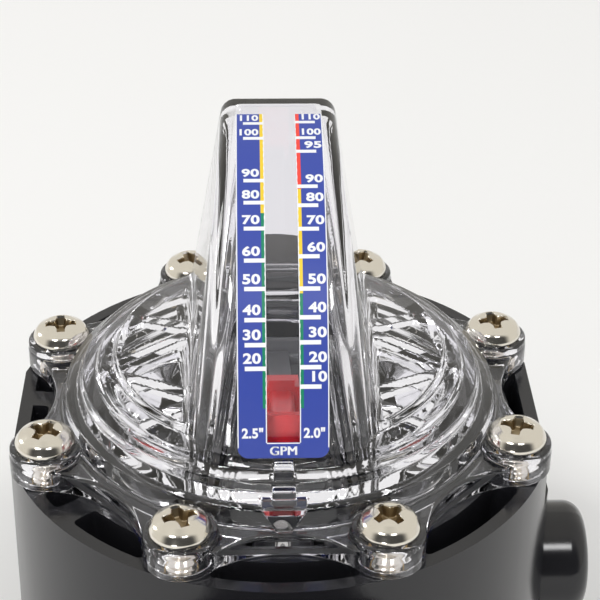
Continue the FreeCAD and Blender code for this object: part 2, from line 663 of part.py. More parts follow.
def flow_arrow():
    """Raised arrow on the dome's front, pointing the way the water leaves."""
    base = LID_FACE + COLLAR_HEIGHT
    front = ARROW_SETBACK - CHAMBER_RADIUS - COLLAR_OUT
    half = ARROW_SHAFT_WIDTH / 2
    back = front + ARROW_SHAFT_LENGTH
    shaft = slab([V(0, front, LID_FACE), V(0, back, LID_FACE), V(0, back, base + ARROW_BACK_RISE),
                  V(0, front, base + ARROW_FRONT_RISE)], half)
    wide = ARROW_HEAD_WIDTH / 2
    shoulder = base + ARROW_HEAD_RISE
    tip = V(0, front - ARROW_TIP_OUT, LID_FACE + ARROW_HEAD_RISE)
    head = prism([V(-wide, front, shoulder), V(wide, front, shoulder), tip], Y_AXIS * ARROW_HEAD_DEPTH)
    return shaft.fuse(head)


def pin_leg(side):
    """Leg that hangs from the tower wall and holds the hinge pin in its slot."""
    low = HINGE_Z + PIN_RADIUS + LEG_PIN_GAP
    inner = side * LEG_INNER
    outer = side * (LEG_INNER + LEG_THICKNESS)
    return block(V(min(inner, outer), HINGE_Y - LEG_HALF_WIDTH, low),
                 V(max(inner, outer), HINGE_Y + LEG_HALF_WIDTH, low + LEG_RISE))


def lid():
    spigot_outer = CHAMBER_RADIUS - SPIGOT_GAP
    spigot = cylinder(spigot_outer, V(0, 0, LID_FACE - SPIGOT_DEPTH), V(0, 0, LID_FACE + JOIN))
    shape = dome_outside().fuse([lid_plate(), spigot, flow_arrow(), tower(0.0, LID_FACE + JOIN)])
    shape = shape.cut([dome_inside(), tower(TOWER_WALL, LID_FACE + JOIN - CUT)])
    shape = shape.fuse(both_sides(pin_leg))
    hole = SCREW_RADIUS + LID_HOLE_CLEARANCE
    holes = [cylinder(hole, screw_place(a, LID_FACE - CUT), screw_place(a, BOSS_TOP + CUT))
             for a in SCREW_ANGLES]
    return shape.cut(holes).removeSplitter()


def front_band(inner, outer, low, high, half_width):
    """A band that follows the tower front between two angles."""
    middle = (low + high) / 2
    wire = Part.Wire([
        Part.Arc(arc_point(inner, low), arc_point(inner, middle), arc_point(inner, high)).toShape(),
        Part.makeLine(arc_point(inner, high), arc_point(outer, high)),
        Part.Arc(arc_point(outer, high), arc_point(outer, middle), arc_point(outer, low)).toShape(),
        Part.makeLine(arc_point(outer, low), arc_point(inner, low)),
    ])
    face = Part.Face(wire)
    face.translate(X_AXIS * -half_width)
    return face.extrude(X_AXIS * (2 * half_width))


def scale_label():
    """Printed film on the tower front, with a slot over the pointer's path."""
    outer = SCALE_RADIUS + LABEL_THICKNESS
    film = front_band(SCALE_RADIUS, outer, LABEL_LOW, LABEL_HIGH, LABEL_HALF_WIDTH)
    corners = [e for e in film.Edges
               if e.Length < 2 * LABEL_THICKNESS and e.BoundBox.ZMax < HINGE_Z + SCALE_RADIUS / 2]
    film = film.makeFillet(LABEL_CORNER, corners)
    window = front_band(SCALE_RADIUS - CUT, outer + CUT, WINDOW_LOW, LABEL_HIGH + CUT, WINDOW_HALF_WIDTH)
    return film.cut(window)


# ---------------------------------------------------------------- swinging assembly
def swing_arm():
    """Hub, flapper arm and pointer blade in one moulding."""
    axis = V(0, HINGE_Y, HINGE_Z)
    hub = cylinder(HUB_RADIUS, axis - X_AXIS * HUB_HALF_LENGTH, axis + X_AXIS * HUB_HALF_LENGTH)
    neck_end = LUG_INNER - THRUST_WASHER_THICKNESS - 2 * PIN_CLEARANCE
    neck = cylinder(NECK_RADIUS, axis - X_AXIS * neck_end, axis + X_AXIS * neck_end)
    disc_top = SWING_RADIUS - DISC_RADIUS
    arm = slab([swing_point(u, w) for u, w in (
        (-ARM_ROOT_FRONT * HUB_RADIUS, -ARM_ROOT_BACK * HUB_RADIUS), (ARM_KNEE_BACK * disc_top, ARM_BACK),
        (SWING_RADIUS, ARM_BACK), (SWING_RADIUS, DISC_BACK), (disc_top - ARM_DISC_GAP, DISC_BACK),
        (ARM_KNEE_FRONT * disc_top, -ARM_ROOT_FRONT * HUB_RADIUS))], ARM_HALF_WIDTH)
    pad = cylinder(ARM_PAD_RADIUS, swing_point(SWING_RADIUS, ARM_BACK), swing_point(SWING_RADIUS, DISC_BACK))
    blade_end = sleeve_end() - POINTER_END_WALL
    blade = slab([pointer_point(v, t) for v, t in (
        (0, -BLADE_HALF_HEIGHT), (blade_end, -BLADE_HALF_HEIGHT),
        (blade_end, BLADE_HALF_HEIGHT), (0, BLADE_HALF_HEIGHT))], BLADE_HALF_WIDTH)
    shape = hub.fuse([neck, arm, pad, blade])
    pin_hole = cylinder(PIN_HOLE_RADIUS, axis - X_AXIS * FAR, axis + X_AXIS * FAR)
    bolt_hole = cylinder(BOLT_RADIUS + PIN_CLEARANCE, swing_point(SWING_RADIUS, ARM_BACK - 1),
                         swing_point(SWING_RADIUS, DISC_BACK + 1))
    return shape.cut([pin_hole, bolt_hole, pointer_screw_hole()]).removeSplitter()


def swing_disc(radius, back, front):
    """A disc of the flapper stack, with its bolt hole."""
    disc = cylinder(radius, swing_point(SWING_RADIUS, back), swing_point(SWING_RADIUS, front))
    hole = BOLT_RADIUS + PIN_CLEARANCE
    return disc.cut(cylinder(hole, swing_point(SWING_RADIUS, back - 1), swing_point(SWING_RADIUS, front + 1)))


def flapper_disc():
    """Backing disc with a raised rim that is notched for the arm."""
    plate = swing_disc(DISC_RADIUS, DISC_BACK, SEAL_BACK)
    rim_back = swing_point(SWING_RADIUS, DISC_BACK - DISC_RIM)
    rim_front = swing_point(SWING_RADIUS, DISC_BACK)
    rim_outer = DISC_RADIUS - DISC_RIM_INSET
    rim = cylinder(rim_outer, rim_back, rim_front)
    rim = rim.cut(cylinder(rim_outer - DISC_RIM, rim_back, rim_front))
    low = DISC_BACK - DISC_RIM - CUT
    notch = slab([swing_point(0, low), swing_point(SWING_RADIUS, low),
                  swing_point(SWING_RADIUS, DISC_BACK), swing_point(0, DISC_BACK)],
                 ARM_HALF_WIDTH + RIM_NOTCH_GAP)
    return plate.fuse(rim.cut(notch)).removeSplitter()


def flapper_seal():
    return swing_disc(DISC_RADIUS, SEAL_BACK, SEAL_FACE)


def seal_retainer():
    plate = swing_disc(RETAINER_RADIUS, SEAL_FACE, SEAL_FACE + RETAINER_THICKNESS)
    rim = [e for e in circle_edges(plate) if e.Curve.Radius > RETAINER_RADIUS - 1]
    far = swing_point(SWING_RADIUS, SEAL_FACE + RETAINER_THICKNESS)
    rim = [e for e in rim if (e.Curve.Center - far).Length < 0.01]
    return plate.makeChamfer(RETAINER_CHAMFER, rim)


def flapper_bolt():
    head_low = SEAL_FACE + RETAINER_THICKNESS
    span = swing_point(0, BOLT_HEAD_HEIGHT) - swing_point(0, 0)
    head = hexagon(NUT_FLATS, swing_point(SWING_RADIUS, head_low), span, V(1, 0, 0))
    tail = ARM_BACK - WASHER_THICKNESS - NUT_HEIGHT - BOLT_TAIL
    shank = cylinder(BOLT_RADIUS, swing_point(SWING_RADIUS, tail), swing_point(SWING_RADIUS, head_low))
    return head.fuse(shank)


def flapper_washer():
    return swing_disc(WASHER_RADIUS, ARM_BACK - WASHER_THICKNESS, ARM_BACK)


def flapper_nut():
    low = ARM_BACK - WASHER_THICKNESS - NUT_HEIGHT
    span = swing_point(0, NUT_HEIGHT) - swing_point(0, 0)
    nut = hexagon(NUT_FLATS, swing_point(SWING_RADIUS, low), span, V(1, 0, 0))
    return nut.cut(cylinder(BOLT_RADIUS + PIN_CLEARANCE, swing_point(SWING_RADIUS, low - 1),
                            swing_point(SWING_RADIUS, low + NUT_HEIGHT + 1)))


def sleeve_end():
    return TIP_RADIUS - POINTER_HEAD_DEPTH - POINTER_NECK_LENGTH


def pointer():
    """Red pointer: curved head, neck, cross bar and the sleeve over the blade."""
    head_back = TIP_RADIUS - POINTER_HEAD_DEPTH
    back = sleeve_end()
    start = back - POINTER_SLEEVE_LENGTH
    high = POINTER_SLEEVE_HALF_HEIGHT

    def plate(v_ends, t_ends, half_width):
        return slab([pointer_point(v_ends[0], t_ends[0]), pointer_point(v_ends[1], t_ends[0]),
                     pointer_point(v_ends[1], t_ends[1]), pointer_point(v_ends[0], t_ends[1])], half_width)

    low_angle, high_angle = [POINTER_REST + math.degrees(t / TIP_RADIUS)
                             for t in (POINTER_HEAD_LOW, POINTER_HEAD_HIGH)]
    head = front_band(head_back, TIP_RADIUS, low_angle, high_angle, POINTER_HEAD_HALF_WIDTH)
    sleeve = plate((start, back), (-high, high), POINTER_SLEEVE_HALF_WIDTH)
    bar = plate((back - POINTER_BAR_DEPTH, back), (0, POINTER_BAR_HIGH), POINTER_BAR_HALF_WIDTH)
    room = BLADE_HALF_HEIGHT + BLADE_CLEARANCE
    socket = plate((start - 1, back - POINTER_END_WALL + BLADE_CLEARANCE), (-room, room),
                   BLADE_HALF_WIDTH + BLADE_CLEARANCE)
    return head.fuse([pointer_neck(), sleeve, bar]).cut([socket, pointer_screw_hole()]).removeSplitter()


def pointer_neck():
    """Neck from the cross bar to the head, with its long upper edges rounded."""
    back = sleeve_end() - 1
    front = TIP_RADIUS - POINTER_HEAD_DEPTH + 1
    neck = slab([pointer_point(back, POINTER_NECK_LOW), pointer_point(front, POINTER_NECK_LOW),
                 pointer_point(front, POINTER_HEAD_HIGH),
                 pointer_point(back, POINTER_HEAD_HIGH + POINTER_NECK_RISE)], POINTER_NECK_HALF_WIDTH)
    above = pointer_point((back + front) / 2, 0.5 * POINTER_HEAD_HIGH).z
    upper = [e for e in neck.Edges if e.Length > POINTER_NECK_LENGTH and e.CenterOfMass.z > above]
    return neck.makeFillet(POINTER_NECK_ROUND, upper)


def pointer_screw_line():
    """Ends of the cross screw that ties the pointer to its blade."""
    place = sleeve_end() - POINTER_SCREW_PLACE
    reach = POINTER_SLEEVE_HALF_WIDTH
    return pointer_point(place, 0, -reach), pointer_point(place, 0, reach)


def pointer_screw_hole():
    start, end = pointer_screw_line()
    return cylinder(POINTER_SCREW_RADIUS + PIN_CLEARANCE, start - X_AXIS, end + X_AXIS)


def pointer_screw():
    start, end = pointer_screw_line()
    head = cylinder(POINTER_SCREW_HEAD_RADIUS, end, end + X_AXIS * POINTER_SCREW_HEAD_HEIGHT)
    return head.fuse(cylinder(POINTER_SCREW_RADIUS, start, end)).removeSplitter()


# ---------------------------------------------------------------- hinge pin and springs
def hinge_pin():
    reach = X_AXIS * (LUG_OUTER + 2 * CLIP_THICKNESS)
    axis = V(0, HINGE_Y, HINGE_Z)
    groove_start = LUG_OUTER + 2 * PIN_CLEARANCE
    pin = cylinder(PIN_RADIUS, axis - reach, axis + reach)
    for side in (1, -1):
        start = axis + X_AXIS * (side * groove_start)
        span = X_AXIS * (side * (CLIP_THICKNESS + PIN_CLEARANCE))
        neck = cylinder(CLIP_GROOVE * PIN_RADIUS, start, start + span)
        pin = pin.cut(cylinder(PIN_RADIUS + CUT, start, start + span).cut(neck))
    return pin


def hinge_pin_clip(side):
    """Open retaining clip that snaps into the pin's groove."""
    start = V(side * (LUG_OUTER + 2 * PIN_CLEARANCE), HINGE_Y, HINGE_Z)
    span = V(side * CLIP_THICKNESS, 0, 0)
    bore = CLIP_GROOVE * PIN_RADIUS + INSERT_FIT
    clip = cylinder(CLIP_RADIUS, start, start + span)
    mouth = block(V(-FAR, HINGE_Y - bore, HINGE_Z), V(FAR, HINGE_Y + bore, HINGE_Z + FAR))
    return clip.cut([cylinder(bore, start - span, start + span * 2), mouth])


def thrust_washer(side):
    start = V(side * (LUG_INNER - THRUST_WASHER_THICKNESS - PIN_CLEARANCE), HINGE_Y, HINGE_Z)
    span = V(side * THRUST_WASHER_THICKNESS, 0, 0)
    hole = cylinder(PIN_HOLE_RADIUS, start - span, start + span * 2)
    return cylinder(CLIP_RADIUS, start, start + span).cut(hole)


def spring_start_x():
    return HUB_HALF_LENGTH + SPRING_HUB_GAP + SPRING_WIRE_RADIUS


def spring_angle():
    """Whole turns plus the angle from the moving leg round to the fixed leg."""
    return 360 * SPRING_TURNS + 180 - CLOSED_TILT


def spring_end_x():
    return spring_start_x() + SPRING_PITCH * spring_angle() / 360


def torsion_spring(side):
    """Coil round one neck; one leg lies on the flapper, the other behind its stop.

    The wire is drawn as short straight runs with flats, enough to hold its place and size.
    """
    steps = SPRING_RUNS_PER_TURN * spring_angle() // 360
    start_x = spring_start_x()
    over_rim = DISC_BACK - DISC_RIM - SPRING_WIRE_RADIUS - SPRING_SEAT_GAP
    rim_place = SWING_RADIUS - DISC_RADIUS + DISC_RIM_INSET
    path = [swing_point(SPRING_MOVING_LEG, over_rim, start_x), swing_point(rim_place, over_rim, start_x),
            swing_point(SPRING_LEAVES_COIL, -COIL_RADIUS, start_x)]
    for k in range(int(steps) + 1):
        share = k / steps
        turn = math.radians(CLOSED_TILT + spring_angle() * share)
        path.append(V(start_x + (spring_end_x() - start_x) * share,
                      HINGE_Y - COIL_RADIUS * math.cos(turn), HINGE_Z + COIL_RADIUS * math.sin(turn)))
    path.append(path[-1] - Z_AXIS * SPRING_FIXED_LEG)
    along = (path[1] - path[0]).normalize()
    turn = FreeCAD.Rotation(along, 360 / SPRING_SIDES)
    corners = [X_AXIS * SPRING_WIRE_RADIUS]
    for _ in range(SPRING_SIDES - 1):
        corners.append(turn.multVec(corners[-1]))
    corners = [path[0] + c for c in corners]
    section = Part.makePolygon(corners + [corners[0]])
    wire = Part.makePolygon(path)
    spring = wire.makePipeShell([section], True, False, 1)
    return spring if side > 0 else spring.mirror(V(0, 0, 0), X_AXIS)


PARTS = {
    "valve_body": lambda: [valve_body()],
    "thread_inserts": lambda: [thread_insert(a) for a in SCREW_ANGLES],
    "lid_screws": lambda: [lid_screw(a) for a in SCREW_ANGLES],
    "lid_o_ring": lambda: [lid_o_ring()],
    "lid": lambda: [lid()],
    "scale_label": lambda: [scale_label()],
    "swing_arm": lambda: [swing_arm()],
    "flapper_disc": lambda: [flapper_disc()],
    "flapper_seal": lambda: [flapper_seal()],
    "seal_retainer": lambda: [seal_retainer()],
    "flapper_bolt": lambda: [flapper_bolt()],
    "flapper_washer": lambda: [flapper_washer()],
    "flapper_nut": lambda: [flapper_nut()],
    "pointer": lambda: [pointer()],
    "pointer_screw": lambda: [pointer_screw()],
    "hinge_pin": lambda: [hinge_pin()],
    "hinge_pin_clips": lambda: both_sides(hinge_pin_clip),
    "thrust_washers": lambda: both_sides(thrust_washer),
    "spring_left": lambda: [torsion_spring(-1)],
    "spring_right": lambda: [torsion_spring(1)],
}

if __name__ == "__main__":
    os.makedirs("parts", exist_ok=True)
    for name, make in PARTS.items():
        save(name, make())
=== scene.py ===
"""Looks of the in-line flow meter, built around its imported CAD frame.

Lengths are millimetres in the part's own frame unless a name says otherwise; MM turns them into
Blender's metres.  Clear and turned pieces are made as distance fields, meshed on a grid and then
slid on to the exact surface, so that every moulded edge is round and every normal is smooth.
"""

import json
import math

import bmesh
import bpy
import numpy as np
import openvdb
from mathutils import Matrix, Vector


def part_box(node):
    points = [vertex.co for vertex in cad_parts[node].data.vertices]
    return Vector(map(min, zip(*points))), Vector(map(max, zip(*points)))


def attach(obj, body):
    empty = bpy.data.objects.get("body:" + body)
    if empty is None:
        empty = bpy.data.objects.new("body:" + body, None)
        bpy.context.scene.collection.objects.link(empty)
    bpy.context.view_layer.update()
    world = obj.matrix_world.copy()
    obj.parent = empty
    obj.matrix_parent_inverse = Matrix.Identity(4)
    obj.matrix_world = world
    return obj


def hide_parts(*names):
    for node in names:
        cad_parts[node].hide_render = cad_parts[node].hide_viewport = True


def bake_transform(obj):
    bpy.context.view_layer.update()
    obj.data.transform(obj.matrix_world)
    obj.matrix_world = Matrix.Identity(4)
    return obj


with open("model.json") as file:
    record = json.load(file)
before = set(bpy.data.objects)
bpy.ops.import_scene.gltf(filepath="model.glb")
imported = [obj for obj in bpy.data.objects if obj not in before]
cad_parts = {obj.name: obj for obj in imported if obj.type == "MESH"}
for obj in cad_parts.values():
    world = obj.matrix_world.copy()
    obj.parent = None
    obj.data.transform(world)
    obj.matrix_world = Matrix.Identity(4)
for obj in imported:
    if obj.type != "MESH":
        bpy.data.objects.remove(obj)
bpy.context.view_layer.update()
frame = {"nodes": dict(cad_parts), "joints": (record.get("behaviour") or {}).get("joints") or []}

MM = 0.001
HOUSING = "housing"


def corner(node, end):
    """Lowest (0) or highest (1) corner of a CAD node, in millimetres."""
    return np.array(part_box(node)[end]) / MM


# ---------------------------------------------------------------- places taken from the frame
HINGE_Y, HINGE_Z = (v / MM for v in frame["joints"][0]["pos_m"][1:])
LID_LOW = corner("lid", 0)[2]                       # underside of the lid's spigot
BODY_TOP = corner("valve_body", 1)[2]               # face that the lid stands on
SCALE_RADIUS = corner("lid", 1)[2] - HINGE_Z        # tower front, about the hinge
SCREW_TOP = corner("lid_screws", 1)[2]

# ---------------------------------------------------------------- meshing of the distance fields
LID_GRID = (0.5, 0.9)           # grid step of a full run and of a quick one
SCREW_GRID = (0.15, 0.3)
GRID_MARGIN = {"lid": 1.5, "screw": 0.5}
BAND_STEPS = 3                  # the grid holds distances this many steps either side
SLIDES = 3                      # times each point is slid towards the exact surface
PROBE = 0.02                    # step for the field's gradient
LEAST_SLOPE = 0.05              # squared gradient below which a slide is held back
LONGEST_CUT = 0.45              # an outline's corner takes at most this share of each side
PAST_AXIS = 9.0                 # closed outlines of turned pieces run on past the axis
HOLLOW_PAST_AXIS = 6.0          # and the hollow's also below the lid

# ---------------------------------------------------------------- lid
CHAMBER_RADIUS = 44.0
SCREW_COUNT = 8
SCREW_SETBACK = 10.0
SCREW_CIRCLE = CHAMBER_RADIUS + SCREW_SETBACK
BOSS_RADIUS = 7.6
BOSS_HEIGHT = 7.1
PLATE_THICKNESS = 5.3
SCALLOP_REACH = 5.8
SCREW_HOLE_RADIUS = 3.5
SEAT_GAP = 0.08                 # air between the lid and the face it stands on
SPIGOT_GAP = 0.3
SPIGOT_WALL = 2.8
UNDERCUT = 2.4                  # the hollow widens at 45 degrees above the spigot
COLLAR_OUT = 3.0
COLLAR_RADIUS = CHAMBER_RADIUS + COLLAR_OUT
COLLAR_HEIGHT = 9.3
COLLAR_TAPER = 1.0              # collar is wider by this below the plate's top
# steps of the dome: how far inside the collar radius, riser foot and riser top above the collar
DOME_RINGS = ((3.3, 2.2, 4.0), (6.8, 4.9, 6.1), (10.8, 7.0, 9.0))
RISER_LEAN = 0.5
DOME_RISE = 13.5
CROWN_SHOULDER = (0.6, 0.66)    # shares of the last step's radius and of the rise left to the crown
DOME_INNER_DROP = 2.0
DOME_INNER_RISE = 2.0
DOME_ARC = (-0.1, 40)           # the inner dome's arc: its end, radians past the axis, and its points
# facets under the dome: pitch, slope, turn off the flow axis in degrees, length of the step back
FACET_PITCH = 19.0
FACET_SLOPE = 0.16
FACET_TURN = 32.0
FACET_STEP = 0.9
FACET_DEPTH = 6.2
FACET_EDGE = (34.0, 38.0)       # radii between which the facets die out under the steps
RIM_SLOPE = 0.22                # slope under the front steps
EDGE_ROUND = 0.7                # moulded outside edges of the lid
# fillets of the lid, by what meets there
FILLETS = {"boss": 0.5, "spigot": 0.5, "collar": 0.6, "tower": 1.2, "arrow": 0.25, "room": 1.0, "leg": 0.5,
           "inside": 0.3}
SINK = 1.0                      # pieces of the lid reach this far into each other
TOWER_START = 2.0               # tower and its room start this far above the body
TOWER_WALL = 3.2
TOWER_BACK_WALL = 1.5
TOWER_INNER_CORNER = 2.0
TOWER_INNER_SHARE = 0.6         # inner front corners are tighter by this share of the wall
TOWER_INNER_BACK_ROUND = 1.0
RIPPLE = (0.2, 2.6)             # moulding ripple inside the tower: height, pitch
RIPPLE_DEPTH = 15.0             # how far back the ripple goes
RIPPLE_FADE = 6.0               # and over what depth it dies out
RIPPLE_STRETCH = 1.4            # pitch of the side walls' ripple, as a multiple
RIPPLE_BESIDE = (1.0, 2.0)      # front ripple: starts this far inside the label's edge, full after that
TOWER_BACK_TOP = 1.75           # outside of the back wall behind the hinge, at the crown
TOWER_BACK_FOOT = (10.0, 21.5)  # lower down: behind the hinge, above the hinge
TOWER_HALF_TOP = 12.1           # half width at the crown
TOWER_HALF_FOOT = (20.7, 15.5)  # half width lower down, above the hinge
TOWER_ROUND_FOOT = 11.0         # front corners of the tower, at its foot and at its top
TOWER_ROUND_TOP = 2.8
TOWER_BACK_ROUND = 2.4
TOWER_CROWN_EDGE = 1.5          # edge between the crown and the back
ARROW_PROUD = 0.6               # arrow's front face outside the collar
ARROW_WIDTH = 4.8
# steps of the shaft: share of the width, start and end behind the front face, top above the collar
ARROW_STEPS = ((1.0, 2.2, 6.0, 3.4), (0.85, 5.0, 10.0, 6.6))
ARROW_HEAD_WIDTH = 9.6
ARROW_HEAD_HEIGHT = 8.2
ARROW_HEAD_TOP = 1.6            # above the collar
ARROW_HEAD_DEPTH = (-1.2, 5.0)  # from the front face
ARROW_ROUND = 0.4
ARROW_FILLET = 0.3
ARROW_HEAD_ROUND = 0.2
LEG_INNER = 17.4
LEG_THICKNESS = 2.8
LEG_HALF_WIDTH = 2.3
LEG_LOW = 2.55                  # leg's foot above the hinge axis
LEG_RISE = 16.0

# ---------------------------------------------------------------- lid screws
SCREW_RADIUS = 3.15
SCREW_LENGTH = 25.4
SHANK_SINK = 0.5                # shank's end inside the head
SHANK_FILLET = 0.3
THREAD_PITCH = 1.27
THREAD_DEPTH = 0.75
THREAD_SHAPE = (1.25, 0.1)      # steepness of the flanks, width of the flat crest
THREAD_START = (1.2, 0.8)       # plain neck under the head, length over which the thread deepens
THREAD_SCALE = 0.75             # keeps the threaded field from growing faster than distance
SHANK_END_ROUND = 0.2
HEAD_RADIUS = 6.4
HEAD_HEIGHT = 4.1
HEAD_RIM = 1.0
HEAD_SHOULDERS = ((0.86, 0.62), (0.55, 0.92))       # shares of the radius and of the height
HEAD_ROUND = 2.2
HEAD_ROUND_STEPS = 9
HEAD_OUTLINE = (0.04, 3.0)      # fineness and margin of the head's outline
RECESS_SPAN = 3.75              # centre to the tip of a wing, at the face
RECESS_WAIST = 1.75             # centre to the hollow between two wings
RECESS_DEPTH = 2.6
WING_HALF = (0.95, 0.4)         # half width of a wing at the face, and how much it narrows
WING_TAPER = 1.5                # wing's tip moves in by this to the bottom
WAIST_TAPER = 1.1
TAPER_LIMIT = 1.2               # the tapers stop a little below the floor of the recess
CONE_SCALE = 0.9                # as THREAD_SCALE, for the tapered waist
RECESS_FILLET = 1.1
RECESS_FLOOR_ROUND = 0.2
RECESS_EDGE = 0.15
# faces that get the recess's painted shade: crown's fall at the wing tips, extra reach, depth below the
# crown, least height
PAINTED_SHADE_FACES = (0.22, 0.3, 0.25, 0.5, 0.5)
SCREW_TURNS = (12, 48, 30, 5, 62, 20, 38, 75)     # each head stopped at its own angle, degrees

# ---------------------------------------------------------------- torsion springs
SPRING_WIRE = 1.0               # diameter

# ---------------------------------------------------------------- scale print
LABEL_HALF_WIDTH = 9.2
WINDOW_HALF_WIDTH = 3.3
LABEL_LOW = 17.2                # angles on the tower front, above horizontal, degrees
LABEL_HIGH = 84.1
LABEL_CORNER = 2.2
WINDOW_LOW = 19.9
FILM = 0.3                      # label film on the tower front
INK = 0.04                      # print on the film
LEFT_SCALE = {20: 32.45, 30: 36.4, 40: 40.6, 50: 45.9, 60: 50.9, 70: 56.8, 80: 61.9, 90: 66.55,
              100: 76.8, 110: 81.1}
RIGHT_SCALE = {10: 29.4, 20: 32.65, 30: 36.8, 40: 41.0, 50: 45.9, 60: 51.6, 70: 56.7, 80: 61.3,
               90: 65.25, 95: 73.35, 100: 76.9, 110: 81.45}
LEFT_BANDS = (("green", 25.8, 59.8), ("yellow", 59.8, LABEL_HIGH))
RIGHT_BANDS = (("green", 25.8, 45.1), ("yellow", 45.1, 64.7), ("red", 64.7, LABEL_HIGH))
BAND_START = 3.46               # inner edge of the colour bands
BANDS = {"green": (0.65, (0.0, 0.23, 0.11)), "yellow": (0.72, (0.85, 0.6, 0.03)),
         "red": (0.8, (0.85, 0.06, 0.04))}
BAND_INK = 0.02
LINE_WIDTH = 0.22
TICK_LENGTH = 4.35
TICK_THICKNESS = 0.88
STRIP_STEP = 1.5                # degrees of arc to one flat of a printed strip
DIGIT_HEIGHT = 2.17
DIGIT_GAP = 0.53                # tick to the figure above it
LEFT_FIGURES_END = -4.4         # left figures end here, right ones at the other
RIGHT_FIGURES_END = 8.8
FIGURE_WIDTHS = {"10": 3.0, "100": 4.0, "110": 3.9}
FIGURE_WIDTH = 3.6              # of the others
FIGURE_WEIGHT = 0.035           # thickens the strokes, as a share of the size
FIGURE_SPACING = 1.05
FIGURE_FINENESS = 6
# place across, place along, height and width of the pipe sizes and of the unit
PIPE_SIZES = (6.2, 21.6, 2.2, 4.3)
UNIT = (0.09, 18.5, 1.85, 5.3)

# ---------------------------------------------------------------- studio, in metres
OBJECT_MIDDLE = Vector((0, 0, 0.09))
LIGHT_DISTANCE = 2.2
# name, direction from the object, width, height, power
SOFTBOXES = (("key", (-0.35, -0.46, 0.81), 0.45, 0.4, 10.5),
             ("second", (0.22, -0.52, 0.83), 0.4, 0.35, 7.5),
             ("side", (-0.86, 0.36, 0.35), 0.4, 0.7, 6.5),
             ("low", (-0.3, -0.95, 0.1), 0.35, 0.3, 6.0))
PALE = (0.92, 0.915, 0.9)       # backdrop as the camera sees it
WORLD_LEVEL = 0.73              # light from all round
# what gloss reflects, as colour and strength: all round, and on the dark side behind the viewer
REFLECTED_PALE = ((1.0, 0.97, 0.9), 0.8)
REFLECTED_DARK = ((1, 1, 1), 0.06)
DARK_SIDE = (0.0, -0.97, 0.25)
DARK_EDGE = (0.35, 0.75)        # how far towards DARK_SIDE the one gives way to the other
FLOOR_HALF = 3.0
FLOOR_DROP = 0.0005
FLOOR_LOOK = ((0.9, 0.893, 0.875), 0.7)

# ---------------------------------------------------------------- camera
CAMERA_PLACE = Vector((-7.1, -326.8, 315.7))        # millimetres
CAMERA_AZIMUTH = -2.0           # degrees, as the next two
CAMERA_ELEVATION = 31.9
CAMERA_ROLL = 0.6
CAMERA_LENS = 107.4
SENSOR_WIDTH = 36.0
CAMERA_CLIP = (0.01, 20)        # metres

# ---------------------------------------------------------------- looks
# base colour and roughness of the even materials
CLEAR = ((0.955, 0.95, 0.985), 0.01)
CLEAR_IOR = 1.56
CLEAR_SHADOW = (0.93, 0.95, 0.95, 1)
POLISHED = ((0.78, 0.74, 0.66), 0.16)
# painted shade: darker brown steel for the screws' cross recess, also rougher
RECESS_PAINTED_SHADE = ((0.36, 0.29, 0.19), 0.32)
WHITE_INK = (0.85, 0.86, 0.88)
INK_ROUGHNESS = 0.35
# base colour, roughness, bump and grain of the uneven ones
GRAINY = {
    "black_moulding": ((0.012, 0.012, 0.014), 0.17, 0.02, 900),
    "bright_steel": ((0.7, 0.69, 0.67), 0.22, 0.05, 1500),
    "seal_rubber": ((0.02, 0.02, 0.02), 0.5, 0.2, 1200),
    "arm_moulding": ((0.03, 0.03, 0.033), 0.3, 0.1, 900),
    "insert_brass": ((0.65, 0.45, 0.18), 0.28, 0.05, 1500),
    "label_blue": ((0.035, 0.065, 0.36), 0.3, 0.02, 600),
    "pointer_red": ((0.52, 0.012, 0.015), 0.3, 0.05, 700),
    "washer_acetal": ((0.8, 0.8, 0.77), 0.4, 0.05, 900),
}
METALS = ("bright_steel", "insert_brass")
NODE_LOOKS = {"valve_body": "black_moulding", "thread_inserts": "insert_brass", "lid_o_ring": "seal_rubber",
              "scale_label": "label_blue", "swing_arm": "arm_moulding", "flapper_disc": "arm_moulding",
              "flapper_seal": "seal_rubber", "pointer": "pointer_red", "thrust_washers": "washer_acetal"}
OTHER_LOOK = "bright_steel"
GRAIN_DETAIL = 6
GRAIN_SPREAD = (0.8, 1.25)      # least and greatest share of the roughness
GRAIN_RELIEF = 0.0002           # metres


# ---------------------------------------------------------------- distance fields
def overlap(a, b, radius=0.0):
    """Intersection of two fields, with its edge rounded."""
    if np.isscalar(radius) and radius == 0.0:
        return np.maximum(a, b)
    near = np.hypot(np.maximum(radius + a, 0), np.maximum(radius + b, 0))
    return np.minimum(-radius, np.maximum(a, b)) + near


def union(a, b, radius=0.0):
    """Union of two fields, with a fillet where they meet."""
    return -overlap(-a, -b, radius)


def rounded(points, radius, steps=5):
    """A closed outline with each corner turned into an arc."""
    points = [np.array(p, float) for p in points]
    out = []
    for before, here, after in zip(points[-1:] + points[:-1], points, points[1:] + points[:1]):
        u, v = before - here, after - here
        lu, lv = np.linalg.norm(u), np.linalg.norm(v)
        u, v = u / lu, v / lv
        half = math.acos(float(np.clip(u @ v, -1, 1))) / 2
        cut = min(radius / math.tan(half), LONGEST_CUT * lu, LONGEST_CUT * lv)
        start, end = here + u * cut, here + v * cut
        for t in np.linspace(0, 1, steps):
            out.append((1 - t) ** 2 * start + 2 * t * (1 - t) * here + t ** 2 * end)
    return out


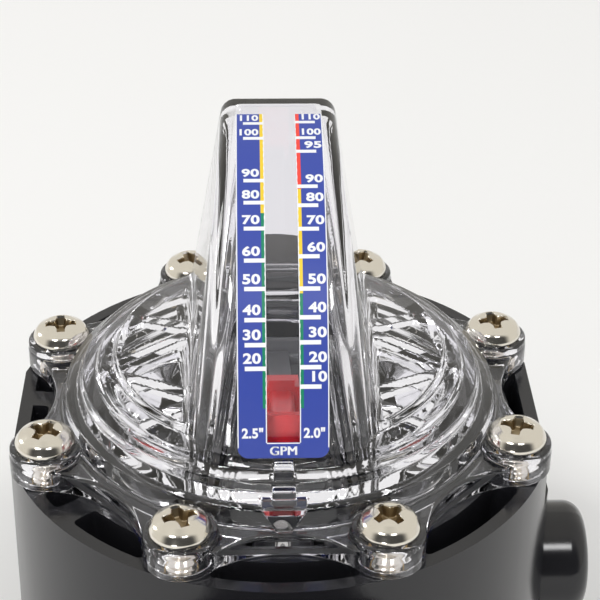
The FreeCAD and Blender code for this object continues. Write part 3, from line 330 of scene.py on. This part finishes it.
def outline_field(points, fineness=0.1, margin=8.0):
    """Signed distance to a closed outline, as a function that reads a fine table of it."""
    points = np.array(points)
    low = points.min(0) - margin
    high = points.max(0) + margin
    u = np.arange(low[0], high[0], fineness)
    v = np.arange(low[1], high[1], fineness)
    p, q = np.meshgrid(u, v, indexing="ij")
    nearest = np.full(p.shape, 1e9)
    inside = np.zeros(p.shape, bool)
    for a, b in zip(points, np.roll(points, -1, axis=0)):
        du, dv = b - a
        t = np.clip(((p - a[0]) * du + (q - a[1]) * dv) / (du * du + dv * dv), 0, 1)
        nearest = np.minimum(nearest, (p - a[0] - t * du) ** 2 + (q - a[1] - t * dv) ** 2)
        if dv != 0:
            crosses = (a[1] > q) != (b[1] > q)
            inside ^= crosses & (p < a[0] + (q - a[1]) * du / dv)
    table = np.where(inside, -1, 1) * np.sqrt(nearest)

    def field(r, z):
        s = np.clip((r - low[0]) / fineness, 0, len(u) - 1.001)
        t = np.clip((z - low[1]) / fineness, 0, len(v) - 1.001)
        i, j = s.astype(int), t.astype(int)
        s, t = s - i, t - j
        return ((table[i, j] * (1 - s) + table[i + 1, j] * s) * (1 - t)
                + (table[i, j + 1] * (1 - s) + table[i + 1, j + 1] * s) * t)
    return field


def surface(name, field, low, high, step):
    """Closed smooth mesh object where the field is zero."""
    low, high = np.array(low, float), np.array(high, float)
    axes = [np.arange(a, b + step, step) for a, b in zip(low, high)]
    values = field(axes[0][:, None, None], axes[1][None, :, None], axes[2][None, None, :])
    band = BAND_STEPS * step
    grid = openvdb.FloatGrid(band)
    grid.copyFromArray(np.clip(values, -band, band).astype(np.float32))
    points, quads = grid.convertToQuads(0.0)
    points = low + points.astype(float) * step
    for _ in range(SLIDES):
        slope = gradient(field, points)
        size = np.maximum((slope ** 2).sum(1), LEAST_SLOPE)
        points -= slope * (np.clip(field(*points.T), -step, step) / size)[:, None]
    slope = gradient(field, points)
    normals = slope / np.maximum(np.linalg.norm(slope, axis=1), 1e-9)[:, None]
    quads = quads.astype(int)
    a, b, c = (points[quads[:, k]] for k in range(3))
    if ((np.cross(b - a, c - a) * normals[quads[:, 0]]).sum(1) < 0).mean() > 0.5:
        quads = quads[:, ::-1]
    mesh = bpy.data.meshes.new(name)
    mesh.from_pydata((points * MM).tolist(), [], quads.tolist())
    mesh.polygons.foreach_set("use_smooth", [True] * len(mesh.polygons))
    mesh.normals_split_custom_set_from_vertices(normals.tolist())
    mesh.update()
    return new_object(name, mesh)


def grid_step(full, quick):
    return full


def gradient(field, points):
    """The field's slope along each axis at scattered points."""
    ahead = [field(*(points + PROBE * axis).T) for axis in np.eye(3)]
    behind = [field(*(points - PROBE * axis).T) for axis in np.eye(3)]
    return np.stack([(a - b) / (2 * PROBE) for a, b in zip(ahead, behind)], 1)


def new_object(name, data):
    obj = bpy.data.objects.new(name, data)
    bpy.context.scene.collection.objects.link(obj)
    return obj


# ---------------------------------------------------------------- clear lid
def dome_outline():
    """Half section of the collar and of the dome with its steps."""
    base = BODY_TOP + COLLAR_HEIGHT
    seat = BODY_TOP + SEAT_GAP
    widest = COLLAR_RADIUS + COLLAR_TAPER
    points = [(-PAST_AXIS, seat), (widest, seat), (widest, BODY_TOP + PLATE_THICKNESS), (COLLAR_RADIUS, base)]
    for inset, foot, top in DOME_RINGS:
        points.append((COLLAR_RADIUS - inset, base + foot))
        points.append((COLLAR_RADIUS - inset - RISER_LEAN, base + top))
    radius, height = points[-1]
    crown = base + DOME_RISE
    in_share, up_share = CROWN_SHOULDER
    shoulder = (radius * in_share, height + (crown - height) * up_share)
    return rounded(points + [shoulder, (0.0, crown), (-PAST_AXIS, crown)], EDGE_ROUND)


def hollow_outline():
    """Half section of the room inside the spigot and under the dome."""
    radius = CHAMBER_RADIUS - SPIGOT_GAP - SPIGOT_WALL
    wide = radius + UNDERCUT
    base = BODY_TOP + COLLAR_HEIGHT - DOME_INNER_DROP
    ball = (wide ** 2 + DOME_INNER_RISE ** 2) / (2 * DOME_INNER_RISE)
    centre = base + DOME_INNER_RISE - ball
    turns = np.linspace(math.asin(wide / ball), *DOME_ARC)
    crown = [(ball * math.sin(t), centre + ball * math.cos(t)) for t in turns]
    under = LID_LOW - HOLLOW_PAST_AXIS
    return crown + [(-HOLLOW_PAST_AXIS, under), (radius, under), (radius, BODY_TOP),
                    (wide, BODY_TOP + UNDERCUT)]


def plate_field(x, y):
    """Distance to the scalloped outline: boss arcs joined by hollow arcs."""
    half = math.pi / SCREW_COUNT
    near = CHAMBER_RADIUS + SCALLOP_REACH
    reach = SCREW_CIRCLE ** 2 - (BOSS_RADIUS - near) ** 2
    d = reach / (2 * (SCREW_CIRCLE * math.cos(half) + BOSS_RADIUS - near))
    rho = np.hypot(x, y)
    turn = np.abs(np.mod(np.arctan2(y, x), 2 * half) - half)      # screws stand at odd half steps
    px, py = rho * np.cos(turn), rho * np.sin(turn)
    hx, hy = d * math.cos(half), d * math.sin(half)
    to_boss = np.hypot(px - SCREW_CIRCLE, py)
    boss = to_boss - BOSS_RADIUS
    hollow = (d - near) - np.hypot(px - hx, py - hy)
    beyond = (px - SCREW_CIRCLE) * hy - py * (hx - SCREW_CIRCLE) > 0
    return np.where(beyond, boss, hollow), to_boss


def tower_field(x, y, z, inset):
    """The tower block, or its hollow when inset is the wall."""
    up = z - HINGE_Z
    half_foot, foot = TOWER_HALF_FOOT
    taper = (half_foot - TOWER_HALF_TOP) / (SCALE_RADIUS - foot)
    sides = (np.abs(x) - half_foot + (up - foot) * taper + inset) / math.hypot(1, taper)
    front = np.hypot(y - HINGE_Y, up) - (SCALE_RADIUS - inset)
    back_foot, back_up = TOWER_BACK_FOOT
    slope = (back_foot - TOWER_BACK_TOP) / (SCALE_RADIUS - back_up)
    back = ((y - HINGE_Y) - back_foot + (up - back_up) * slope) / math.hypot(1, slope) + inset
    share = np.clip((up - foot) / (SCALE_RADIUS - foot), 0, 1)
    round_radius = TOWER_ROUND_FOOT + (TOWER_ROUND_TOP - TOWER_ROUND_FOOT) * share
    if inset:
        height, pitch = RIPPLE
        inside, full = RIPPLE_BESIDE
        beside = np.clip((np.abs(x) - LABEL_HALF_WIDTH + inside) / full, 0, 1)
        wave = height * beside * np.sin(2 * math.pi * sides / pitch)
        near = np.clip((RIPPLE_DEPTH + front) / RIPPLE_FADE, 0, 1)
        sides = sides + near * height * np.sin(2 * math.pi * front / (RIPPLE_STRETCH * pitch))
        round_radius = np.maximum(round_radius - TOWER_INNER_SHARE * inset, TOWER_INNER_CORNER)
        back = back + TOWER_BACK_WALL - TOWER_WALL
        return overlap(overlap(front + wave, sides, round_radius), back, TOWER_INNER_BACK_ROUND)
    below_crown = np.clip(-front / TOWER_ROUND_FOOT, 0, 1)
    back_round = TOWER_CROWN_EDGE + (TOWER_BACK_ROUND - TOWER_CROWN_EDGE) * below_crown
    return overlap(overlap(front, sides, round_radius), back, back_round)


def box_field(x, y, z, low, high, radius):
    """A box with rounded edges."""
    centre = [(a + b) / 2 for a, b in zip(low, high)]
    half = [(b - a) / 2 - radius for a, b in zip(low, high)]
    d = [np.abs(p - c) - h for p, c, h in zip((x, y, z), centre, half)]
    outside = np.sqrt(sum(np.maximum(v, 0) ** 2 for v in d))
    return outside + np.minimum(np.maximum(np.maximum(d[0], d[1]), d[2]), 0) - radius


def arrow_field(x, y, z):
    """Raised flow arrow: a stepped shaft up the dome and a wedge head over the collar."""
    base = BODY_TOP + COLLAR_HEIGHT
    front = -(COLLAR_RADIUS + ARROW_PROUD)
    steps = []
    for share, start, end, rise in ARROW_STEPS:
        half = ARROW_WIDTH / 2 * share
        low, high = (-half, front + start, BODY_TOP + SINK), (half, front + end, base + rise)
        steps.append(box_field(x, y, z, low, high, ARROW_ROUND))
    shaft = union(*steps, ARROW_FILLET)
    # head: a downward triangle standing on the collar's face
    wide, drop = ARROW_HEAD_WIDTH / 2, ARROW_HEAD_HEIGHT
    top = base + ARROW_HEAD_TOP
    edge = (np.abs(x) * drop - (z - (top - drop)) * wide) / math.hypot(drop, wide)
    near, far = ARROW_HEAD_DEPTH
    slab = np.maximum(front + near - y, y - (front + far))
    head = overlap(overlap(edge, z - top, ARROW_HEAD_ROUND), slab, ARROW_HEAD_ROUND)
    return union(shaft, head, ARROW_HEAD_ROUND)


def facets(x, y):
    """How far the underside of the dome hangs down: two families of sloping facets that cross."""
    turn = math.radians(FACET_TURN)
    down = 0.0
    for side in (-1, 1):
        along = y * math.cos(turn) + side * np.abs(x) * math.sin(turn)
        part = np.mod(along, FACET_PITCH)
        back = FACET_PITCH - FACET_STEP
        down = down + FACET_SLOPE * np.where(part < back, part, back * (FACET_PITCH - part) / FACET_STEP)
    rho = np.hypot(x, y)
    inner, outer = FACET_EDGE
    share = np.clip((outer - rho) / (outer - inner), 0, 1)
    rim = RIM_SLOPE * np.clip(CHAMBER_RADIUS - rho, 0, CHAMBER_RADIUS - inner) * np.clip(-y / inner, 0, 1)
    return np.minimum(down * share + rim, FACET_DEPTH)


def lid_field_maker():
    dome = outline_field(dome_outline())
    hollow = outline_field(hollow_outline())

    def field(x, y, z):
        rho = np.hypot(x, y)
        plate, to_boss = plate_field(x, y)
        under = BODY_TOP + SEAT_GAP - z
        flange = overlap(plate, np.maximum(under, z - BODY_TOP - PLATE_THICKNESS), EDGE_ROUND)
        boss = overlap(to_boss - BOSS_RADIUS, np.maximum(under, z - BODY_TOP - BOSS_HEIGHT), EDGE_ROUND)
        shape = union(flange, boss, FILLETS["boss"])
        spigot = overlap(rho - (CHAMBER_RADIUS - SPIGOT_GAP), np.maximum(LID_LOW - z, z - BODY_TOP - SINK),
                         FILLETS["spigot"])
        shape = union(shape, union(dome(rho, z), spigot), FILLETS["collar"])
        above = BODY_TOP + TOWER_START - z
        shape = union(shape, np.maximum(tower_field(x, y, z, 0.0), above), FILLETS["tower"])
        shape = union(shape, arrow_field(x, y, z), FILLETS["arrow"])
        lowered = z + np.where(z > BODY_TOP, facets(x, y), 0)
        tower_room = np.maximum(tower_field(x, y, z, TOWER_WALL), above)
        shape = overlap(shape, -union(hollow(rho, lowered), tower_room, FILLETS["room"]), FILLETS["inside"])
        leg_foot = HINGE_Z + LEG_LOW
        legs = box_field(np.abs(x), y, z, (LEG_INNER, HINGE_Y - LEG_HALF_WIDTH, leg_foot),
                         (LEG_INNER + LEG_THICKNESS, HINGE_Y + LEG_HALF_WIDTH, leg_foot + LEG_RISE),
                         FILLETS["inside"])
        shape = union(shape, legs, FILLETS["leg"])
        return overlap(shape, SCREW_HOLE_RADIUS - to_boss, FILLETS["inside"])
    return field


def make_lid():
    low = corner("lid", 0) - GRID_MARGIN["lid"]
    high = corner("lid", 1) + GRID_MARGIN["lid"]
    lid = surface("clear_lid", lid_field_maker(), low, high, grid_step(*LID_GRID))
    lid.data.materials.append(clear_plastic())
    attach(lid, HOUSING)
    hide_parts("lid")


# ---------------------------------------------------------------- lid screws
def screw_field_maker():
    """Pan head screw standing on z = 0, with a cross recess and a threaded shank."""
    fineness, margin = HEAD_OUTLINE
    shoulders = [(out * HEAD_RADIUS, up * HEAD_HEIGHT) for out, up in HEAD_SHOULDERS]
    outline = [(-margin, 0), (HEAD_RADIUS, 0), (HEAD_RADIUS, HEAD_RIM), *shoulders, (0, HEAD_HEIGHT),
               (-margin, HEAD_HEIGHT)]
    head = outline_field(rounded(outline, HEAD_ROUND, HEAD_ROUND_STEPS), fineness, margin)
    steep, crest = THREAD_SHAPE
    neck, deepens = THREAD_START
    wing_half, narrows = WING_HALF

    def field(x, y, z):
        rho = np.hypot(x, y)
        angle = np.arctan2(y, x)
        phase = np.mod(z / THREAD_PITCH - angle / (2 * math.pi), 1.0)
        groove = THREAD_DEPTH * np.clip(steep * (1 - np.abs(2 * phase - 1)) - crest, 0, 1)
        groove = groove * np.clip((-neck - z) / deepens, 0, 1)
        shank = overlap((rho - SCREW_RADIUS + groove) * THREAD_SCALE,
                        np.maximum(-SCREW_LENGTH - z, z - SHANK_SINK), SHANK_END_ROUND)
        shape = union(head(rho, z), shank, SHANK_FILLET)
        depth = HEAD_HEIGHT - z
        u, v = np.maximum(np.abs(x), np.abs(y)), np.minimum(np.abs(x), np.abs(y))
        taper = np.clip(depth / RECESS_DEPTH, 0, TAPER_LIMIT)
        wing = np.maximum(v - (wing_half - narrows * taper), u - (RECESS_SPAN - WING_TAPER * taper))
        cone = (rho - (RECESS_WAIST - WAIST_TAPER * taper)) * CONE_SCALE
        recess = overlap(union(wing, cone, RECESS_FILLET), depth - RECESS_DEPTH, RECESS_FLOOR_ROUND)
        return overlap(shape, -recess, RECESS_EDGE)
    return field


def make_screws():
    margin = GRID_MARGIN["screw"]
    reach = HEAD_RADIUS + margin
    first = surface("lid_screw_1", screw_field_maker(), (-reach, -reach, -SCREW_LENGTH - margin),
                    (reach, reach, HEAD_HEIGHT + margin), grid_step(*SCREW_GRID))
    first.data.materials.append(material("polished_steel", *POLISHED, Metallic=1.0))
    # second material: shade painted into the cross recess as darker brown steel
    first.data.materials.append(material("recess_painted_shade_steel", *RECESS_PAINTED_SHADE, Metallic=1.0))
    fall, wider, shallow, deeper, least = PAINTED_SHADE_FACES
    # faces inside the cross recess take the painted shade
    for face in first.data.polygons:
        x, y, z = face.center / MM
        rho = math.hypot(x, y)
        below = HEAD_HEIGHT * (1 - fall * (rho / RECESS_SPAN) ** 2) - z
        if rho < RECESS_SPAN + wider and shallow < below < RECESS_DEPTH + deeper and z > least:
            face.material_index = 1
    under = SCREW_TOP - HEAD_HEIGHT
    for k in range(SCREW_COUNT):
        screw = first if k == 0 else new_object(f"lid_screw_{k + 1}", first.data)
        angle = (k + 0.5) * 2 * math.pi / SCREW_COUNT
        place = Vector((SCREW_CIRCLE * math.cos(angle), SCREW_CIRCLE * math.sin(angle), under)) * MM
        screw.matrix_world = Matrix.Translation(place) @ Matrix.Rotation(math.radians(SCREW_TURNS[k]), 4, "Z")
        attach(screw, HOUSING)
        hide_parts("lid_screws")


# ---------------------------------------------------------------- torsion springs
def make_springs():
    """Each spring is a plain copy of its CAD node's mesh, coil and legs as they are; the node itself is
    hidden.
    """
    for node in ("spring_left", "spring_right"):
        low, high = corner(node, 0), corner(node, 1)
        outside, inside = (high, low) if high[0] > 0 else (low, high)
        inward = math.copysign(SPRING_WIRE, -outside[0])
        ends = outside[0] + inward, inside[0] - inward
        coil = [[x * MM, HINGE_Y * MM, HINGE_Z * MM] for x in ends]
        spring = new_object("twisting_" + node, frame["nodes"][node].data.copy())
        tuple(coil[0])
        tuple(coil[1])
        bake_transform(spring)
        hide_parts(node)


# ---------------------------------------------------------------- scale print
def on_scale(x, along, lift):
    """A place on the tower front: x across, along the arc in degrees, lift off the plastic."""
    a = math.radians(along)
    radius = SCALE_RADIUS + lift
    return Vector((x, HINGE_Y - radius * math.cos(a), HINGE_Z + radius * math.sin(a))) * MM


def degrees(length):
    return math.degrees(length / (SCALE_RADIUS + FILM))


def printed_strip(build, left, right, low, high, ink=INK):
    """Adds one thin raised rectangle to a bmesh, following the front's curve."""
    left, right = min(left, right), max(left, right)
    steps = max(1, round((high - low) / STRIP_STEP))
    lift = (FILM - INK, FILM + ink)
    rows = []
    for k in range(steps + 1):
        along = low + (high - low) * k / steps
        rows.append([build.verts.new(on_scale(x, along, h)) for h in lift for x in (left, right)])
    for a, b in zip(rows, rows[1:]):
        for i, j in ((0, 1), (1, 3), (3, 2), (2, 0)):
            build.faces.new((a[i], a[j], b[j], b[i]))
    for row in (rows[0], rows[-1]):
        build.faces.new((row[0], row[1], row[3], row[2]))


def finish_print(name, build, ink):
    bmesh.ops.recalc_face_normals(build, faces=build.faces)
    mesh = bpy.data.meshes.new(name)
    build.to_mesh(mesh)
    build.free()
    mesh.materials.append(ink)
    piece = new_object(name, mesh)
    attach(piece, HOUSING)


def make_bands():
    for colour, (width, tint) in BANDS.items():
        build = bmesh.new()
        for side, bands in ((-1, LEFT_BANDS), (1, RIGHT_BANDS)):
            for name, low, high in bands:
                if name == colour:
                    near = side * BAND_START
                    printed_strip(build, near, near + side * width, low, high, BAND_INK)
        finish_print("scale_band_" + colour, build, material("ink_" + colour, tint, INK_ROUGHNESS))


def make_ticks(white):
    """Ticks, and the thin lines at the label's edges and round the window."""
    build = bmesh.new()
    half = degrees(TICK_THICKNESS / 2)
    for side, scale in ((-1, LEFT_SCALE), (1, RIGHT_SCALE)):
        near = side * WINDOW_HALF_WIDTH
        for along in scale.values():
            printed_strip(build, near, near + side * TICK_LENGTH, along - half, along + half)
        rim = side * LABEL_HALF_WIDTH
        printed_strip(build, rim, rim - side * LINE_WIDTH, LABEL_LOW + degrees(LABEL_CORNER), LABEL_HIGH)
    for side in (-1, 1):
        near = side * WINDOW_HALF_WIDTH
        printed_strip(build, near, near + side * LINE_WIDTH, WINDOW_LOW, LABEL_HIGH, BAND_INK)
    foot = WINDOW_LOW - degrees(LINE_WIDTH)
    printed_strip(build, -WINDOW_HALF_WIDTH, WINDOW_HALF_WIDTH, foot, WINDOW_LOW)
    finish_print("scale_ticks", build, white)


def flat_text(words, weight):
    """Mesh of bold figures lying flat, with its lowest and highest corner."""
    curve = bpy.data.curves.new(words, "FONT")
    curve.body = words
    curve.size = 1.0
    curve.offset = weight
    curve.extrude = 0.01                # any thickness: make_text sets where both faces lie
    curve.resolution_u = FIGURE_FINENESS
    curve.space_character = FIGURE_SPACING
    flat = new_object(words, curve)
    bpy.context.view_layer.update()
    mesh = bpy.data.meshes.new_from_object(flat.evaluated_get(bpy.context.evaluated_depsgraph_get()))
    bpy.data.objects.remove(flat)
    places = np.array([v.co for v in mesh.vertices])
    return mesh, places, places.min(0), places.max(0)


def make_text(name, words, end, along, height, wide, white, align=1.0, weight=FIGURE_WEIGHT):
    """Figures wrapped on to the tower front; align 1 ends them at end, 0.5 centres them there."""
    mesh, places, low, high = flat_text(words, weight)
    size = height / (high[1] - low[1])
    stretch = wide / (high[0] - low[0])
    across = end + (places[:, 0] - high[0] * align - low[0] * (1 - align)) * stretch
    up = along + degrees(1) * (places[:, 1] - (low[1] + high[1]) / 2) * size
    lift = np.where(places[:, 2] > 0, FILM + INK, FILM - INK)
    for vertex, spot in zip(mesh.vertices, zip(across, up, lift)):
        vertex.co = on_scale(*spot)
    mesh.materials.clear()
    mesh.materials.append(white)
    piece = new_object(name, mesh)
    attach(piece, HOUSING)


def make_scale():
    white = material("ink_white", WHITE_INK, INK_ROUGHNESS)
    make_bands()
    make_ticks(white)
    rise = degrees(TICK_THICKNESS / 2 + DIGIT_HEIGHT / 2 + DIGIT_GAP)
    for word, end, scale in (("left", LEFT_FIGURES_END, LEFT_SCALE),
                             ("right", RIGHT_FIGURES_END, RIGHT_SCALE)):
        for value, along in scale.items():
            figures = str(value)
            make_text(f"figure_{word}_{value}", figures, end, along + rise, DIGIT_HEIGHT,
                      FIGURE_WIDTHS.get(figures, FIGURE_WIDTH), white)
    place, along, height, wide = PIPE_SIZES
    make_text("figure_size_left", '2.5"', -place, along, height, wide, white, 0.5)
    make_text("figure_size_right", '2.0"', place, along, height, wide, white, 0.5)
    # the unit is set twice, a little apart, for the weight of its strokes
    shift, along, height, wide = UNIT
    make_text("figure_units_left", "GPM", -shift, along, height, wide, white, 0.5, 0.0)
    make_text("figure_units_right", "GPM", shift, along, height, wide, white, 0.5, 0.0)


# ---------------------------------------------------------------- materials
def principled(mat):
    return mat.node_tree.nodes["Principled BSDF"]


def material(name, base, rough, **more):
    """Even material: base colour, roughness and any other inputs of the shader."""
    mat = bpy.data.materials.new(name)
    mat.use_nodes = True
    inputs = principled(mat).inputs
    inputs["Base Color"].default_value = (*base, 1)
    inputs["Roughness"].default_value = rough
    for key, value in more.items():
        inputs[key.replace("_", " ")].default_value = value
    return mat


def clear_plastic():
    """Clear moulding that lets light through to what stands inside it."""
    mat = material("clear_plastic", *CLEAR, Transmission_Weight=1.0, IOR=CLEAR_IOR)
    nodes, links = mat.node_tree.nodes, mat.node_tree.links
    see_through = nodes.new("ShaderNodeBsdfTransparent")
    see_through.inputs["Color"].default_value = CLEAR_SHADOW
    path = nodes.new("ShaderNodeLightPath")
    mix = nodes.new("ShaderNodeMixShader")
    links.new(path.outputs["Is Shadow Ray"], mix.inputs["Fac"])
    links.new(principled(mat).outputs["BSDF"], mix.inputs[1])
    links.new(see_through.outputs["BSDF"], mix.inputs[2])
    links.new(mix.outputs["Shader"], nodes["Material Output"].inputs["Surface"])
    return mat


def grainy(name):
    """Moulded or machined surface: fine uneven roughness and a slight bump."""
    base, rough, bump, scale = GRAINY[name]
    mat = material(name, base, rough, Metallic=1.0 if name in METALS else 0.0)
    shader = principled(mat)
    nodes, links = mat.node_tree.nodes, mat.node_tree.links
    place = nodes.new("ShaderNodeNewGeometry")
    noise = nodes.new("ShaderNodeTexNoise")
    noise.inputs["Scale"].default_value = scale
    noise.inputs["Detail"].default_value = GRAIN_DETAIL
    links.new(place.outputs["Position"], noise.inputs["Vector"])
    spread = nodes.new("ShaderNodeMapRange")
    least, greatest = GRAIN_SPREAD
    spread.inputs["To Min"].default_value = rough * least
    spread.inputs["To Max"].default_value = rough * greatest
    links.new(noise.outputs["Fac"], spread.inputs["Value"])
    links.new(spread.outputs["Result"], shader.inputs["Roughness"])
    relief = nodes.new("ShaderNodeBump")
    relief.inputs["Strength"].default_value = bump
    relief.inputs["Distance"].default_value = GRAIN_RELIEF
    links.new(noise.outputs["Fac"], relief.inputs["Height"])
    links.new(relief.outputs["Normal"], shader.inputs["Normal"])
    return mat


def dress_frame():
    """Gives every CAD node its material."""
    looks = {name: grainy(name) for name in GRAINY}
    for node, obj in frame["nodes"].items():
        obj.data.materials.clear()
        obj.data.materials.append(looks[NODE_LOOKS.get(node, OTHER_LOOK)])


# ---------------------------------------------------------------- light, floor and camera
def make_stage():
    mesh = bpy.data.meshes.new("floor")
    build = bmesh.new()
    bmesh.ops.create_grid(build, x_segments=1, y_segments=1, size=FLOOR_HALF)
    build.to_mesh(mesh)
    build.free()
    floor = new_object("floor", mesh)
    floor.location.z = -FLOOR_DROP
    mesh.materials.append(material("floor_pale", *FLOOR_LOOK))


def make_world():
    """Even pale studio; what gloss reflects is darker on the side where the viewer stands."""
    world = bpy.data.worlds.new("studio")
    bpy.context.scene.world = world
    world.use_nodes = True
    nodes, links = world.node_tree.nodes, world.node_tree.links

    def background(colour, strength):
        shader = nodes.new("ShaderNodeBackground")
        shader.inputs["Color"].default_value = (*colour, 1)
        shader.inputs["Strength"].default_value = strength
        return shader.outputs[0]

    def blend(share, first, second):
        mix = nodes.new("ShaderNodeMixShader")
        links.new(share, mix.inputs["Fac"])
        links.new(first, mix.inputs[1])
        links.new(second, mix.inputs[2])
        return mix.outputs[0]

    path = nodes.new("ShaderNodeLightPath")
    place = nodes.new("ShaderNodeTexCoord")
    facing = nodes.new("ShaderNodeVectorMath")
    facing.operation = "DOT_PRODUCT"
    facing.inputs[1].default_value = DARK_SIDE
    links.new(place.outputs["Generated"], facing.inputs[0])
    share = nodes.new("ShaderNodeMapRange")
    share.interpolation_type = "SMOOTHSTEP"
    share.inputs["From Min"].default_value, share.inputs["From Max"].default_value = DARK_EDGE
    links.new(facing.outputs["Value"], share.inputs["Value"])
    reflected = blend(share.outputs["Result"], background(*REFLECTED_PALE), background(*REFLECTED_DARK))
    pale = background(PALE, 1.0)
    light = background((1, 1, 1), WORLD_LEVEL)
    result = blend(path.outputs["Is Glossy Ray"], light, reflected)
    result = blend(path.outputs["Is Transmission Ray"], result, pale)
    result = blend(path.outputs["Is Camera Ray"], result, pale)
    links.new(result, nodes["World Output"].inputs["Surface"])


def make_lights():
    """Small strong softboxes, set far off and turned to the object's middle."""
    for name, direction, width, height, power in SOFTBOXES:
        light = bpy.data.lights.new(name, "AREA")
        light.shape = "RECTANGLE"
        light.size, light.size_y = width, height
        light.energy = power
        obj = new_object(name, light)
        obj.location = OBJECT_MIDDLE + Vector(direction).normalized() * LIGHT_DISTANCE
        obj.rotation_mode = "QUATERNION"
        obj.rotation_quaternion = (OBJECT_MIDDLE - obj.location).to_track_quat("-Z", "Y")


def make_camera():
    data = bpy.data.cameras.new("camera")
    data.lens = CAMERA_LENS
    data.sensor_width = SENSOR_WIDTH
    camera = new_object("camera", data)
    a, e, r = (math.radians(v) for v in (CAMERA_AZIMUTH, CAMERA_ELEVATION, CAMERA_ROLL))
    back = Vector((math.sin(a) * math.cos(e), -math.cos(a) * math.cos(e), math.sin(e)))
    right = Vector((0, 0, 1)).cross(back).normalized()
    up = back.cross(right)
    turned = right * math.cos(r) + up * math.sin(r)
    up = back.cross(turned)
    basis = Matrix((turned, up, back)).transposed().to_4x4()
    camera.matrix_world = Matrix.Translation(CAMERA_PLACE * MM) @ basis
    data.clip_start, data.clip_end = CAMERA_CLIP
    bpy.context.scene.camera = camera


def main():
    make_camera()
    make_world()
    make_lights()
    make_stage()
    dress_frame()
    make_lid()
    make_screws()
    make_springs()
    make_scale()
    bpy.context.scene.view_settings.view_transform = "Standard"


main()
